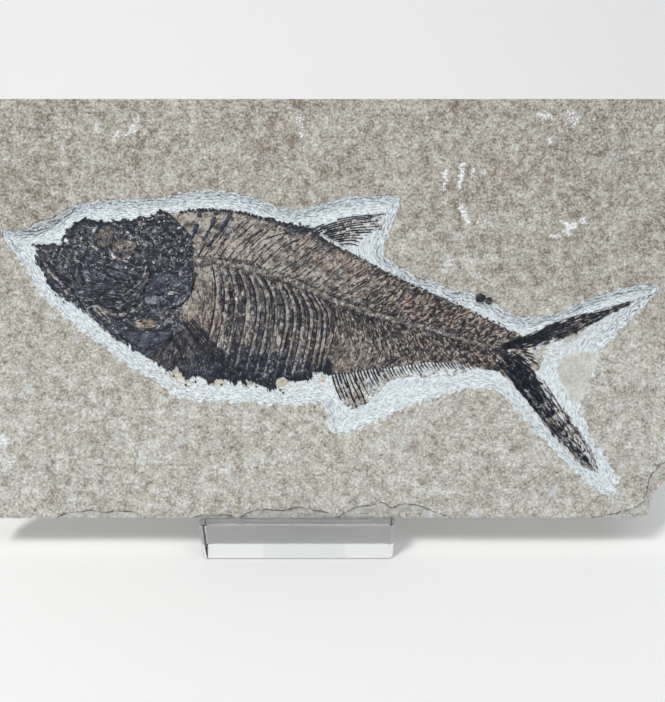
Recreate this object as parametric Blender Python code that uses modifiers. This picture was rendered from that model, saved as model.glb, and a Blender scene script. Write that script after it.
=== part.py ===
"""A fossil fish on a limestone slab that leans back on a clear display stand.

Metres, +Z up. The origin is the middle of the front bar's underside, and the slab's split face looks
toward -Y. Outlines and depths on the slab are in millimetres: u across, v up the face, w out of it.
"""

import math
import random

import bmesh
import bpy
from mathutils import Vector

MM = 0.001
GAP = 0.3  # left between pieces that touch

# Slab
SLAB_WIDTH = 280.0
SLAB_HEIGHT = 168.0
SLAB_THICKNESS = 10.0
SLAB_LEAN_DEG = 22.0  # the face's lean back from upright
SLAB_SHIFT = 13.4  # the slab's middle, to the right of the stand's
BEDS = ((-3.7, 0.0), (-7.1, -3.4), (-SLAB_THICKNESS, -6.8))  # layers of the stone, front to back
BED_INSET = 0.45  # how far each bed's edge stands in from the one before it
EDGE_STEP = 13.0
EDGE_WAVER = 0.55
BROKEN_CORNER = (
    (124.5, 0), (126.8, 1.4), (128.4, 7.4), (133.2, 14.2), (136.4, 17.8), (140, 21),
)

# Depths on the slab's face
RECESS_FLOOR = -1.4
BONE_UNDERSIDE = RECESS_FLOOR + GAP
FILM_TOP = -0.45
FIN_TOP = -0.7
FLAKE_FLOOR = -0.6
FLAKE_STEP = 0.1  # each flake's scar is a little deeper than the one before it
CUT_TOP = 2.0  # cutters start this far out of the face
SINK = 0.07  # how far the middle line of a bone bar lies under the surface it grows from

# The trench that was cut round the fish
HALO = (
    (-130, 115), (-124.4, 115.4), (-120.4, 116.6), (-116.4, 119), (-111.6, 120.2), (-107.6, 123),
    (-102.4, 125.4), (-96.4, 127), (-84.4, 127.8), (-72.4, 128.2), (-60.4, 130.2), (-50.4, 131.4),
    (-42.4, 131), (-32.4, 129), (-24.4, 125.8), (-17.2, 123.8), (-10.4, 124.2), (-2.4, 126.6),
    (5.6, 128.6), (15.6, 129.4), (27.2, 129), (26.8, 123.4), (24, 115.4), (21.2, 108.2),
    (22.8, 104.2), (29.6, 99.4), (35.6, 95.8), (41.6, 95), (47.6, 91.8), (56.4, 90.2), (65.6, 86.2),
    (72.4, 81.8), (81.6, 80.6), (91.6, 83), (103.6, 88.2), (115.6, 92.2), (125.6, 93.8), (132, 93),
    (128.4, 87.8), (121.6, 81), (113.6, 72.6), (107.6, 67), (106.4, 61), (101.2, 50.2), (100, 43.4),
    (102.8, 35.4), (107.6, 27.4), (113.2, 19.4), (114.4, 13.8), (111.6, 9.8), (106.4, 11.4),
    (97.6, 19), (87.6, 29.4), (77.6, 39.8), (67.6, 50.6), (59.6, 52.2), (49.6, 51), (39.6, 48.2),
    (29.6, 44.2), (17.6, 39), (7.6, 35.4), (2.8, 34.2), (-0.4, 36.6), (-3.2, 45.8), (-16.4, 45.8),
    (-36.4, 46.6), (-52.4, 47.4), (-62.4, 49.4), (-69.2, 55.4), (-78.4, 59.8), (-89.2, 67.4),
    (-96.4, 73), (-104.4, 79), (-111.6, 85.4), (-117.2, 91.4), (-121.2, 98.2), (-126.4, 105.4),
    (-129.6, 110.6),
)

# Thin beds that have flaked off the face: along the lower edge, and at the broken corner
FLAKES = (
    ((-108, -1), (-107, 1.8), (-96, 3), (-84, 3), (-77, 1.6), (-75.5, -1)),
    ((-55.5, -1), (-54, 0.8), (-40.5, 1), (-38, -1)),
    ((-35, -1), (-33, 2.2), (-27.5, 3.6), (-12.5, 4.2), (-0.5, 1.8), (3, -1)),
    ((4.5, -1), (8.5, 3.8), (15.5, 5.2), (20.5, 6.2), (24.5, 4.2), (29, 5.8), (37.5, 4.2), (48, -1)),
    ((107.5, -1), (108, 1), (114.8, 2.2), (123.6, 5.4), (126.4, 11.4), (127.6, 16.2), (130, 19.4),
     (133.2, 22.2), (142, 25), (142, -1)),
)

# Fish, head to the left
SKULL_FRONT = (
    (-118.8, 109), (-113.2, 109.4), (-108, 108.6), (-106.8, 112.2), (-105.6, 115.4), (-102, 117.8),
    (-98.8, 119.8), (-95.6, 118.6), (-87.6, 118.6), (-80.4, 119), (-78, 120.2), (-72.4, 120.6),
    (-67.6, 123.4),
)
GILL_LINE = (
    (-64.4, 122.2), (-62, 119), (-56.4, 113.8), (-54.8, 109), (-55.2, 102.6), (-55.2, 92.2),
    (-58, 87.8), (-60.4, 83.8), (-61.2, 80.2), (-58, 77), (-62, 73.8), (-66.8, 70.2), (-70, 66.6),
    (-73.2, 64.2),
)
JAW_AND_THROAT = (
    (-78.4, 67.4), (-81.2, 70.2), (-85.2, 71.8), (-89.2, 75), (-92.8, 78.2), (-96, 81.4),
    (-97.2, 83.4), (-100.4, 84.2), (-102.4, 86.6), (-106, 87.8), (-108.4, 89), (-111.6, 92.2),
    (-113.6, 95.4), (-115.2, 100.2), (-117.2, 101.8), (-118.4, 104.6), (-115.2, 105), (-117.2, 107.4),
)
BACK_BEFORE_FIN = (
    (-60.4, 122.6), (-56.4, 123.4), (-48.4, 123.8), (-41.2, 123.4), (-35.6, 122.6), (-30, 121),
    (-24.4, 119.8), (-18.4, 117.8), (-12.4, 117),
)
BACK_UNDER_FIN = ((-7.6, 115.4), (-4.4, 113), (-0.4, 110.2), (5.6, 107.4))
BACK_BEHIND_FIN = (
    (11.6, 104.6), (17.6, 101), (22.8, 98.6), (28.4, 95.8), (33.6, 93), (39.6, 90.6), (45.6, 87.8),
    (50, 85.8), (54, 84.2), (59.6, 81), (65.6, 78.2), (70.4, 75.8), (74, 74.2),
)
TAIL_JOIN = (
    (77.6, 72.6), (72.4, 71.4), (68.4, 69.8), (66.8, 67.4), (64.8, 65), (66, 61.8), (67.2, 58.6),
)
BELLY_BEHIND_FIN = ((64.4, 59.4), (59.6, 60.2))
BELLY_OVER_FIN = (
    (53.6, 61.4), (47.6, 62.2), (39.6, 62.6), (29.6, 61.4), (21.6, 60.2), (13.6, 59.4), (7.6, 58.2),
    (2, 57.8), (-1.2, 57),
)
BELLY_SCUTES = (
    (-2.4, 58.6), (-8, 58.6), (-8.8, 55.4), (-12.8, 55), (-16.8, 55.4), (-19.2, 56.6), (-22, 55.8),
    (-23.2, 51.8), (-26.8, 52.6), (-31.6, 55), (-34, 55.8), (-34.8, 53.8), (-37.2, 55.8),
    (-38, 53.4), (-41.2, 55.8), (-46, 55.8), (-48.4, 53.8), (-50.8, 56.2), (-54.4, 57.4),
    (-58, 55.8), (-60, 58.6), (-62, 61), (-65.6, 59), (-68.4, 61.4), (-70.4, 63),
)
COLUMN = (
    (-54.2, 103), (-46.4, 102.8), (-38.4, 101.4), (-30.4, 99.4), (-22.4, 97), (-16.4, 95),
    (-10.4, 92.6), (0, 87.8), (8.4, 84.6), (16.8, 81.8), (27.6, 79), (37.2, 76.6), (46, 73.8),
    (54, 71), (61.2, 69.4), (65.8, 68.4),
)
DORSAL_EDGE = (
    (9.4, 108.6), (15.6, 113), (21.2, 115), (22.8, 119.8), (22, 122.6), (5.6, 121), (-0.4, 119.4),
    (-5.2, 117.4),
)
ANAL_EDGE = (
    (-0.4, 53), (0.6, 51.2), (4, 45), (8, 42.2), (12.8, 43), (18.8, 48.2), (24, 53.8), (31.6, 55.4),
    (39.6, 54.6), (48.4, 55.4), (55, 57.2),
)
TAIL_EDGE = (
    (80.5, 73.4), (87.6, 77.4), (91.6, 79), (97.6, 80.6), (109.6, 84.2), (115.6, 86.2), (123.6, 88),
    (120.4, 85.8), (115.6, 83), (109.6, 80.6), (104.4, 77), (99.6, 74.6), (94, 71.8), (86.8, 69),
    (81.2, 67.8), (85.6, 64.2), (84, 60.2), (81.2, 58.2), (84, 55.4), (87.2, 53), (86, 50.2),
    (88.8, 46.6), (92.8, 42.2), (96, 37.4), (99.6, 32.2), (102.8, 27.4), (104.8, 23.4),
    (107.6, 17.8), (103.6, 19.4), (98, 22.6), (92.4, 28.6), (88.4, 33.8), (85.2, 38.2),
    (81.6, 43.8), (78, 47.8), (74, 52.6), (70.4, 56.2),
)

# Bones that stand proud, each stroke a run of points
VERTEBRAE = 38
VERTEBRA_RADIUS = 1.25
DISC_RADIUS = 0.85
RIB_COUNT = 19
RIB_POINTS = 4
RIB_RADIUS = (0.62, 0.36)  # at the backbone, at the foot
FRONT_RIB = ((-50.8, 102), (-51.6, 89.4), (-54, 76.2))
MIDDLE_RIB = ((-27.6, 97), (-28.8, 79.4), (-36, 61))
REAR_RIB = ((-3.6, 88.2), (-1.6, 73.4), (-2.8, 60.4))
THICK_BARS = (
    ((-51.8, 122), (-54, 116.2), (-55.0, 111.2)),
    ((-46, 121.4), (-47.6, 117.4), (-51.2, 112.2), (-53.4, 107.4)),
    ((-40.4, 122), (-42, 118.2), (-45.2, 113.4), (-49.6, 107.8)),
)
BAR_RADIUS = 0.85
# Spines above and below the backbone: how many, where the first and last stand, how far back their
# tips lean, and the share of the way to the body's edge that they reach
SPINES_ABOVE = 26
ABOVE_FEET = (-46, 56)
ABOVE_LEAN = (14, 9)
ABOVE_REACH = 0.8
SPINES_BELOW = 17
BELOW_FEET = (3, 58)
BELOW_LEAN = (2.5, 5)
BELOW_REACH = 0.78
SPINE_RADIUS = (0.45, 0.22)
PECTORAL_SPINES = 4
PECTORAL_SPREAD = 1.5
PECTORAL_ROOT = (-56.4, 78.2)
PECTORAL_TIP = (-44.4, 60.4)
# How high each kind of bar is for its width
RIB_FLATNESS = 0.6
SPINE_FLATNESS = 0.7
BACKBONE_FLATNESS = 0.42
PECTORAL_FLATNESS = 0.75
RAY_FLATNESS = 0.8

# Skull bones: outline, then how far the bone stands above the film
SKULL_BONES = (
    (((-72.4, 100.2), (-66.4, 101), (-60.4, 100.2), (-56.6, 102), (-56.2, 92.2), (-59, 88.2),
      (-64.4, 86.6), (-69.2, 85.8), (-73.2, 87.4), (-74, 93.4)), 0.75),
    (((-76.4, 114.6), (-66.4, 116.2), (-58.8, 111.8), (-56.4, 104.6), (-66, 102.6), (-74.4, 105.4)), 0.5),
    (((-100.4, 94.6), (-92.4, 91.4), (-82.4, 89.4), (-76.4, 91.4), (-77.2, 86.6), (-81.2, 83.8),
      (-88.4, 83.8), (-96.4, 86.2), (-101.2, 85.2), (-102, 88.2)), 0.65),
    (((-107.6, 105), (-104.4, 102.6), (-102.8, 97.4), (-101.2, 95), (-104.4, 94.2), (-108.4, 98.6),
      (-112.4, 102.6)), 0.5),
    (((-115.6, 102.6), (-112.4, 100.2), (-108.4, 95.4), (-103.6, 89), (-106, 88.4), (-110, 90.6),
      (-113.2, 94.2), (-114.8, 98.6)), 0.55),
    (((-85.2, 78.6), (-76.4, 78.6), (-66.4, 77.4), (-64.4, 73.4), (-69.2, 69), (-76.4, 68.2),
      (-82.4, 71.4)), 0.6),
    (((-98.8, 118.6), (-86.4, 117.8), (-72.4, 119.6), (-66.2, 121.6), (-64.6, 118.2), (-72.4, 116.6),
      (-86.4, 115.2), (-96.4, 116)), 0.55),
    (((-104, 115), (-98.4, 117), (-96.2, 111), (-98.4, 106.6), (-104.4, 108.6)), 0.45),
    (((-90.4, 103.4), (-83.6, 103), (-76.4, 100.2), (-75.8, 95.8), (-82.4, 92.6), (-90, 94.6)), 0.4),
)
BONE_ROOT = 0.3  # how deep each bone is let into the film
BONE_SLOPE = 0.8  # how far its upper rim stands in from its outline
ORBIT_CENTRE = (-88, 111)
ORBIT_RADII = (6.6, 5.4)
ORBIT_RIM = 0.9
ORBIT_POINTS = 14
JAW_BARS = (
    ((-118, 108.8), (-112, 108.4), (-104, 107.4), (-98, 106.6)),
    ((-116.6, 103.6), (-110.6, 97.4), (-104.2, 89.8), (-99, 85.6)),
    ((-99, 96.6), (-90.4, 93.4), (-82.4, 92.2), (-75.4, 96)),
    ((-96, 83), (-86.4, 80.6), (-76.4, 81.8), (-68, 85)),
    ((-91, 78.2), (-84.4, 80), (-74.8, 80.2), (-64.4, 81.4)),
)
JAW_RADIUS = (0.6, 0.3)

# Fins
FIN_RAY_RADIUS = (0.42, 0.2)
DORSAL_RAYS = 7
DORSAL_FEET = ((-6.6, 116), (5.2, 109.4))
DORSAL_TIPS = ((21.4, 122), (13.4, 111.9))
ANAL_RAYS = 22
ANAL_FEET = (0.6, 50)
ANAL_LEAN = (8, 5)
ANAL_LONGEST = 14.0
TAIL_RAYS = 6
TAIL_RAY_RADIUS = (0.5, 0.25)
TAIL_RAY_STEP = (0.7, -0.25)
# Each lobe: where its first ray stands, and the tips of its first and last ray
UPPER_LOBE = ((70.5, 69.2), (119.5, 86.2), (93, 72.4))
LOWER_LOBE = ((69.6, 62.4), (104.4, 20.8), (87.6, 46))

# Mineral speck on the slab
NODULE = (
    (58, 88.6), (59.2, 90.2), (61.6, 89.8), (64, 87.8), (64.8, 86.2), (62.4, 85.8), (60.4, 86.6),
    (58.4, 87),
)
NODULE_HEIGHT = 0.7
NODULE_BEVEL = 0.25

# Stand
BAR_WIDTH = 78.6
BAR_DEPTH = 17.5
BAR_HEIGHT = 16.0
BAR_DRAFT = 0.9  # how much further in each end is at the table
BAR_CORNER = 2.0
LAND = 4.0  # flat strip of the bar in front of the slab
SHEET = 3.0
EASEL_WIDTH = 40.0
REST_LENGTH = 78.0  # up the slab's back, to where the sheet bends
BEND_RADIUS = 5.0
LEG_LEAN_DEG = 22.0
BEND_STEPS = 6

COLOURS = {
    "limestone_slab": ((0.52, 0.46, 0.38), 0.9),
    "skull": ((0.035, 0.037, 0.046), 0.5),
    "trunk": ((0.14, 0.105, 0.08), 0.6),
    "dorsal_fin": ((0.10, 0.085, 0.07), 0.6),
    "anal_fin": ((0.10, 0.085, 0.07), 0.6),
    "tail_fin": ((0.03, 0.03, 0.033), 0.55),
    "mineral_nodule": ((0.03, 0.028, 0.026), 0.6),
    "stand_front_bar": ((0.92, 0.94, 0.95), 0.05),
    "stand_easel": ((0.92, 0.94, 0.95), 0.05),
}


def clear_scene():
    for obj in list(bpy.data.objects):
        bpy.data.objects.remove(obj)


def new_collection(name):
    collection = bpy.data.collections.new(name)
    bpy.context.scene.collection.children.link(collection)
    return collection


def principled(name):
    colour, roughness = COLOURS[name]
    material = bpy.data.materials.new(name)
    material.use_nodes = True
    shader = material.node_tree.nodes["Principled BSDF"]
    shader.inputs["Base Color"].default_value = (*colour, 1)
    shader.inputs["Roughness"].default_value = roughness
    shader.inputs["Metallic"].default_value = 0
    if name.startswith("stand"):
        shader.inputs["Transmission Weight"].default_value = 1
        shader.inputs["IOR"].default_value = 1.49
    return material


def linked(name, mesh, parts, parent=None):
    """The finished piece of that name, in its own material."""
    obj = bpy.data.objects.new(name, mesh)
    parts.objects.link(obj)
    obj.parent = parent
    mesh.materials.clear()
    mesh.materials.append(principled(name))
    return obj


def helper(name, mesh, cutters, parent=None):
    """A shape that only cuts or joins another one."""
    obj = bpy.data.objects.new(name, mesh)
    cutters.objects.link(obj)
    obj.parent = parent
    obj.hide_render = True
    obj.display_type = "WIRE"
    return obj


def boolean(obj, other, operation, use_self=False):
    modifier = obj.modifiers.new(operation.title(), "BOOLEAN")
    modifier.operation = operation
    modifier.solver = "EXACT"
    modifier.object = other
    modifier.use_self = use_self


def mesh_of_curve(curve):
    """The curve's own mesh, with its caps welded to its sides."""
    guide = bpy.data.objects.new(curve.name, curve)
    bpy.context.scene.collection.objects.link(guide)
    graph = bpy.context.evaluated_depsgraph_get()
    mesh = bpy.data.meshes.new_from_object(guide.evaluated_get(graph))
    bpy.data.objects.remove(guide)
    shape = bmesh.new()
    shape.from_mesh(mesh)
    bmesh.ops.remove_doubles(shape, verts=shape.verts, dist=1e-6)
    bmesh.ops.recalc_face_normals(shape, faces=shape.faces)
    shape.to_mesh(mesh)
    shape.free()
    return mesh


def plate_mesh(name, outline, low, high):
    """A closed outline filled and extruded from one depth to another."""
    curve = bpy.data.curves.new(name, "CURVE")
    curve.dimensions = "2D"
    curve.fill_mode = "BOTH"
    curve.extrude = (high - low) / 2 * MM
    spline = curve.splines.new("POLY")
    spline.points.add(len(outline) - 1)
    for point, (u, v) in zip(spline.points, outline):
        point.co = (u * MM, v * MM, 0, 1)
    spline.use_cyclic_u = True
    mesh = mesh_of_curve(curve)
    for vertex in mesh.vertices:
        vertex.co.z += (low + high) / 2 * MM
    return mesh


def strokes_mesh(name, strokes, level, flatness, cyclic=False):
    """Tapered bars of four sides along runs of (u, v, radius), their middles sunk just under a level."""
    curve = bpy.data.curves.new(name, "CURVE")
    curve.dimensions = "3D"
    curve.bevel_depth = MM
    curve.bevel_resolution = 0
    curve.use_fill_caps = not cyclic
    for index, stroke in enumerate(strokes):
        spline = curve.splines.new("POLY")
        spline.points.add(len(stroke) - 1)
        spline.use_cyclic_u = cyclic
        sunk = SINK * (1 + 0.37 * (index % 3)) / flatness
        for point, (u, v, radius) in zip(spline.points, stroke):
            point.co = (u * MM, v * MM, -sunk * MM, 1)
            point.radius = radius
    mesh = mesh_of_curve(curve)
    for vertex in mesh.vertices:
        vertex.co.z = level * MM + vertex.co.z * flatness
    return mesh


def lerp(a, b, t):
    return a + (b - a) * t


def between(a, b, t):
    """The point that share of the way from one point to another."""
    return (lerp(a[0], b[0], t), lerp(a[1], b[1], t))


def tapered(points, radii):
    """The points with a radius that goes from the first value to the last."""
    last = len(points) - 1
    return [(u, v, lerp(*radii, i / last)) for i, (u, v) in enumerate(points)]


def height_at(profile, u):
    """v of a profile that runs from left to right, at u."""
    for (u0, v0), (u1, v1) in zip(profile, profile[1:]):
        if u0 <= u <= u1:
            return lerp(v0, v1, (u - u0) / (u1 - u0))
    return profile[-1][1] if u > profile[-1][0] else profile[0][1]


def shifted(points, du, dv):
    return [(u + du, v + dv) for u, v in points]


def wavering_side(start, end, rng):
    """Points from start to just before end, each but the first pulled a little toward the inside."""
    steps = max(2, round((Vector(end) - Vector(start)).length / EDGE_STEP))
    points = [start]
    for i in range(1, steps):
        u = lerp(start[0], end[0], (i + rng.uniform(-0.3, 0.3)) / steps)
        v = lerp(start[1], end[1], (i + rng.uniform(-0.3, 0.3)) / steps)
        pull = rng.uniform(0, EDGE_WAVER)
        inward_u = -math.copysign(pull, u) if start[0] == end[0] else 0
        inward_v = -pull if start[1] == end[1] else 0
        points.append((u + inward_u, v + inward_v))
    return points


def slab_outline(rng, inset):
    """The slab seen from the front: a straight sawn foot, a broken corner and slightly uneven sides."""
    half = SLAB_WIDTH / 2 - inset
    top = SLAB_HEIGHT - inset
    corner = [(u - inset, v) for u, v in BROKEN_CORNER]
    outline = [(-half, 0)] + corner[:-1]
    outline += wavering_side(corner[-1], (half, top), rng)
    outline += wavering_side((half, top), (-half, top), rng)
    outline += wavering_side((-half, top), (-half, 0), rng)
    return outline


def make_slab(parts, cutters, face):
    rng = random.Random(7)
    beds = [
        plate_mesh(f"bed_{index}", slab_outline(rng, BED_INSET * index), low, high)
        for index, (low, high) in enumerate(BEDS)
    ]
    slab = linked("limestone_slab", beds[0], parts, face)
    for bed in beds[1:]:
        boolean(slab, helper(bed.name, bed, cutters, face), "UNION")
    trench = plate_mesh("trench", HALO, RECESS_FLOOR, CUT_TOP)
    boolean(slab, helper("trench", trench, cutters, face), "DIFFERENCE")
    for index, outline in enumerate(FLAKES):
        flake = plate_mesh(f"flake_{index}", outline, FLAKE_FLOOR - FLAKE_STEP * index, CUT_TOP)
        boolean(slab, helper(flake.name, flake, cutters, face), "DIFFERENCE")


def bowed(first, middle, last, t):
    """The point at t on the smooth bow that passes through three points, at t 0, 0.5 and 1."""
    shares = ((1 - t) * (1 - 2 * t), 4 * t * (1 - t), t * (2 * t - 1))
    return tuple(sum(s * p[k] for s, p in zip(shares, (first, middle, last))) for k in (0, 1))


def rib_stroke(t):
    """The rib at share t of the way from the front one to the rear one."""
    top, bend, foot = (bowed(FRONT_RIB[i], MIDDLE_RIB[i], REAR_RIB[i], t) for i in range(3))
    last = RIB_POINTS - 1
    return tapered([bowed(top, bend, foot, i / last) for i in range(RIB_POINTS)], RIB_RADIUS)


def backbone_stroke():
    """Vertebrae along the column, as a bar that swells at each bone."""
    beads = 2 * VERTEBRAE
    left = COLUMN[0][0]
    right = COLUMN[-1][0]
    stroke = []
    for i in range(beads + 1):
        u = lerp(left, right, i / beads)
        radius = VERTEBRA_RADIUS if i % 2 else DISC_RADIUS
        stroke.append((u, height_at(COLUMN, u), radius * lerp(1, 0.75, i / beads)))
    return stroke


def spines_above():
    back = BACK_BEFORE_FIN + BACK_UNDER_FIN + BACK_BEHIND_FIN
    strokes = []
    for i in range(SPINES_ABOVE):
        t = i / (SPINES_ABOVE - 1)
        foot_u = lerp(*ABOVE_FEET, t)
        tip_u = foot_u + lerp(*ABOVE_LEAN, t)
        foot_v = height_at(COLUMN, foot_u)
        tip_v = lerp(foot_v, height_at(back, tip_u), ABOVE_REACH)
        middle = (lerp(foot_u, tip_u, 0.5), lerp(foot_v, tip_v, 0.44))
        strokes.append(tapered([(foot_u, foot_v), middle, (tip_u, tip_v)], SPINE_RADIUS))
    return strokes


def spines_below():
    belly = tuple(reversed(BELLY_BEHIND_FIN + BELLY_OVER_FIN))
    strokes = []
    for i in range(SPINES_BELOW):
        t = i / (SPINES_BELOW - 1)
        foot_u = lerp(*BELOW_FEET, t)
        tip_u = foot_u + lerp(*BELOW_LEAN, t)
        foot_v = height_at(COLUMN, foot_u)
        tip_v = lerp(foot_v, height_at(belly, tip_u), BELOW_REACH)
        middle = (lerp(foot_u, tip_u, 0.4), lerp(foot_v, tip_v, 0.5))
        strokes.append(tapered([(foot_u, foot_v), middle, (tip_u, tip_v)], SPINE_RADIUS))
    return strokes


def pectoral_strokes():
    strokes = []
    for i in range(PECTORAL_SPINES):
        side = PECTORAL_SPREAD * (i - (PECTORAL_SPINES - 1) / 2)
        root = (PECTORAL_ROOT[0] + 0.5 * side, PECTORAL_ROOT[1] + 0.4 * side)
        tip = (PECTORAL_TIP[0] + side, PECTORAL_TIP[1] + 0.5 * side)
        middle = (lerp(root[0], tip[0], 0.52), lerp(root[1], tip[1], 0.48))
        strokes.append(tapered([root, middle, tip], RIB_RADIUS))
    return strokes


def make_trunk(parts, cutters, face):
    front = shifted(reversed(GILL_LINE), 1.2 * GAP, 0)
    outline = list(BACK_BEFORE_FIN + BACK_UNDER_FIN + BACK_BEHIND_FIN + TAIL_JOIN)
    outline += list(BELLY_BEHIND_FIN + BELLY_OVER_FIN + BELLY_SCUTES) + front
    trunk = linked("trunk", plate_mesh("trunk", outline, BONE_UNDERSIDE, FILM_TOP), parts, face)
    ribs = [rib_stroke(i / (RIB_COUNT - 1)) for i in range(RIB_COUNT)]
    bars = [tapered(points, (BAR_RADIUS, 0.6 * BAR_RADIUS)) for points in THICK_BARS]
    groups = {
        "ribs": (ribs + bars, RIB_FLATNESS),
        "spines": (spines_above() + spines_below(), SPINE_FLATNESS),
        "backbone": ([backbone_stroke()], BACKBONE_FLATNESS),
        "pectoral_spines": (pectoral_strokes(), PECTORAL_FLATNESS),
    }
    for name, (strokes, flatness) in groups.items():
        mesh = strokes_mesh(name, strokes, FILM_TOP, flatness)
        boolean(trunk, helper(name, mesh, cutters, face), "UNION", use_self=True)


def orbit_stroke():
    """The bony ring round the eye."""
    points = []
    for i in range(ORBIT_POINTS):
        angle = 2 * math.pi * i / ORBIT_POINTS
        u = ORBIT_CENTRE[0] + ORBIT_RADII[0] * math.cos(angle)
        v = ORBIT_CENTRE[1] + ORBIT_RADII[1] * math.sin(angle)
        points.append((u, v, ORBIT_RIM))
    return points


def bone_mesh(name, outline, top):
    """A skull bone: a thin plate whose upper rim is bevelled down."""
    mesh = plate_mesh(name, outline, FILM_TOP - BONE_ROOT, top)
    shape = bmesh.new()
    shape.from_mesh(mesh)
    highest = max(vertex.co.z for vertex in shape.verts)
    middle = Vector((0, 0, 0))
    for u, v in outline:
        middle += Vector((u, v, 0)) * MM / len(outline)
    for vertex in shape.verts:
        if vertex.co.z > highest - 0.01 * MM:
            inward = Vector((middle.x - vertex.co.x, middle.y - vertex.co.y, 0))
            vertex.co += inward.normalized() * min(BONE_SLOPE * MM, 0.3 * inward.length)
    shape.to_mesh(mesh)
    shape.free()
    return mesh


def make_skull(parts, cutters, face):
    outline = list(SKULL_FRONT + GILL_LINE + JAW_AND_THROAT)
    skull = linked("skull", plate_mesh("skull", outline, BONE_UNDERSIDE, FILM_TOP), parts, face)
    for index, (bone, proud) in enumerate(SKULL_BONES):
        mesh = bone_mesh(f"skull_bone_{index}", bone, FILM_TOP + proud)
        boolean(skull, helper(f"skull_bone_{index}", mesh, cutters, face), "UNION")
    jaws = [tapered(points, JAW_RADIUS) for points in JAW_BARS]
    jaw_mesh = strokes_mesh("jaw_bars", jaws, FILM_TOP, RIB_FLATNESS)
    boolean(skull, helper("jaw_bars", jaw_mesh, cutters, face), "UNION", use_self=True)
    orbit_mesh = strokes_mesh("orbit_ring", [orbit_stroke()], FILM_TOP, RIB_FLATNESS, cyclic=True)
    boolean(skull, helper("orbit_ring", orbit_mesh, cutters, face), "UNION", use_self=True)


def make_fin(name, outline, strokes, parts, cutters, face):
    """A thin web with rays on it."""
    fin = linked(name, plate_mesh(name, outline, BONE_UNDERSIDE, FIN_TOP), parts, face)
    rays = strokes_mesh(f"{name}_rays", strokes, FIN_TOP, RAY_FLATNESS)
    boolean(fin, helper(rays.name, rays, cutters, face), "UNION", use_self=True)


def make_dorsal_fin(parts, cutters, face):
    root = shifted(BACK_UNDER_FIN, 0.8 * GAP, 1.3 * GAP)
    strokes = []
    for i in range(DORSAL_RAYS):
        t = i / (DORSAL_RAYS - 1)
        foot = between(*DORSAL_FEET, t)
        tip = between(*DORSAL_TIPS, t)
        middle = (lerp(foot[0], tip[0], 0.45), lerp(foot[1], tip[1], 0.62))
        strokes.append(tapered([foot, middle, tip], FIN_RAY_RADIUS))
    make_fin("dorsal_fin", list(DORSAL_EDGE) + root, strokes, parts, cutters, face)


def make_anal_fin(parts, cutters, face):
    root = list(reversed(shifted(BELLY_OVER_FIN, 0, -1.6 * GAP)))
    inset = 2 * GAP
    strokes = []
    for i in range(ANAL_RAYS):
        t = i / (ANAL_RAYS - 1)
        foot_u = lerp(*ANAL_FEET, t)
        foot_v = height_at(root, foot_u) - inset
        tip_u = foot_u + lerp(*ANAL_LEAN, t)
        tip_v = max(height_at(ANAL_EDGE[3:], tip_u) + inset, foot_v - ANAL_LONGEST)
        strokes.append(tapered([(foot_u, foot_v), (tip_u, tip_v)], FIN_RAY_RADIUS))
    make_fin("anal_fin", list(reversed(ANAL_EDGE)) + root, strokes, parts, cutters, face)


def lobe_rays(first_foot, first_tip, last_tip):
    """Rays that fan from the tail's root to between two tips."""
    strokes = []
    for i in range(TAIL_RAYS):
        foot = (first_foot[0] + i * TAIL_RAY_STEP[0], first_foot[1] + i * TAIL_RAY_STEP[1])
        tip = between(first_tip, last_tip, i / (TAIL_RAYS - 1))
        strokes.append(tapered([foot, tip], TAIL_RAY_RADIUS))
    return strokes


def make_tail_fin(parts, cutters, face):
    root = list(reversed(shifted(TAIL_JOIN, 1.3 * GAP, -1.2 * GAP)))
    rays = lobe_rays(*UPPER_LOBE) + lobe_rays(*LOWER_LOBE)
    make_fin("tail_fin", list(TAIL_EDGE) + root, rays, parts, cutters, face)


def make_nodule(parts, face):
    mesh = plate_mesh("mineral_nodule", NODULE, GAP, GAP + NODULE_HEIGHT)
    nodule = linked("mineral_nodule", mesh, parts, face)
    bevel = nodule.modifiers.new("Bevel", "BEVEL")
    bevel.width = NODULE_BEVEL * MM
    bevel.segments = 1


def seat_point():
    """Where the slab's lower front edge meets the bar, in the side view."""
    return Vector((0, -BAR_DEPTH / 2 + LAND, BAR_HEIGHT)) * MM


def place_face():
    """An empty at the slab's lower front edge: its X runs across, Y up the face and Z out of it."""
    face = bpy.data.objects.new("slab_face", None)
    bpy.context.scene.collection.objects.link(face)
    lean = math.radians(SLAB_LEAN_DEG)
    up_the_face = Vector((0, math.sin(lean), math.cos(lean)))
    face.location = seat_point() + up_the_face * GAP * MM + Vector((SLAB_SHIFT * MM, 0, 0))
    face.rotation_euler = (math.radians(90) - lean, 0, 0)
    return face


def block_mesh(name, low, high, draft=0.0, corner=0.0):
    """A block between two corners in mm, its lower end narrower in X by draft at each side, and its
    upright edges rounded."""
    shape = bmesh.new()
    bmesh.ops.create_cube(shape, size=1)
    for vertex in shape.verts:
        narrow = draft if vertex.co.z < 0 else 0
        for axis in range(3):
            vertex.co[axis] = lerp(low[axis], high[axis], vertex.co[axis] + 0.5) * MM
        vertex.co.x -= math.copysign(narrow * MM, vertex.co.x)
    if corner:
        uprights = [e for e in shape.edges if abs(e.verts[0].co.z - e.verts[1].co.z) > MM]
        bmesh.ops.bevel(
            shape, geom=uprights, offset=corner * MM, segments=4, profile=0.5, affect="EDGES"
        )
    mesh = bpy.data.meshes.new(name)
    shape.to_mesh(mesh)
    shape.free()
    return mesh


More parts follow.
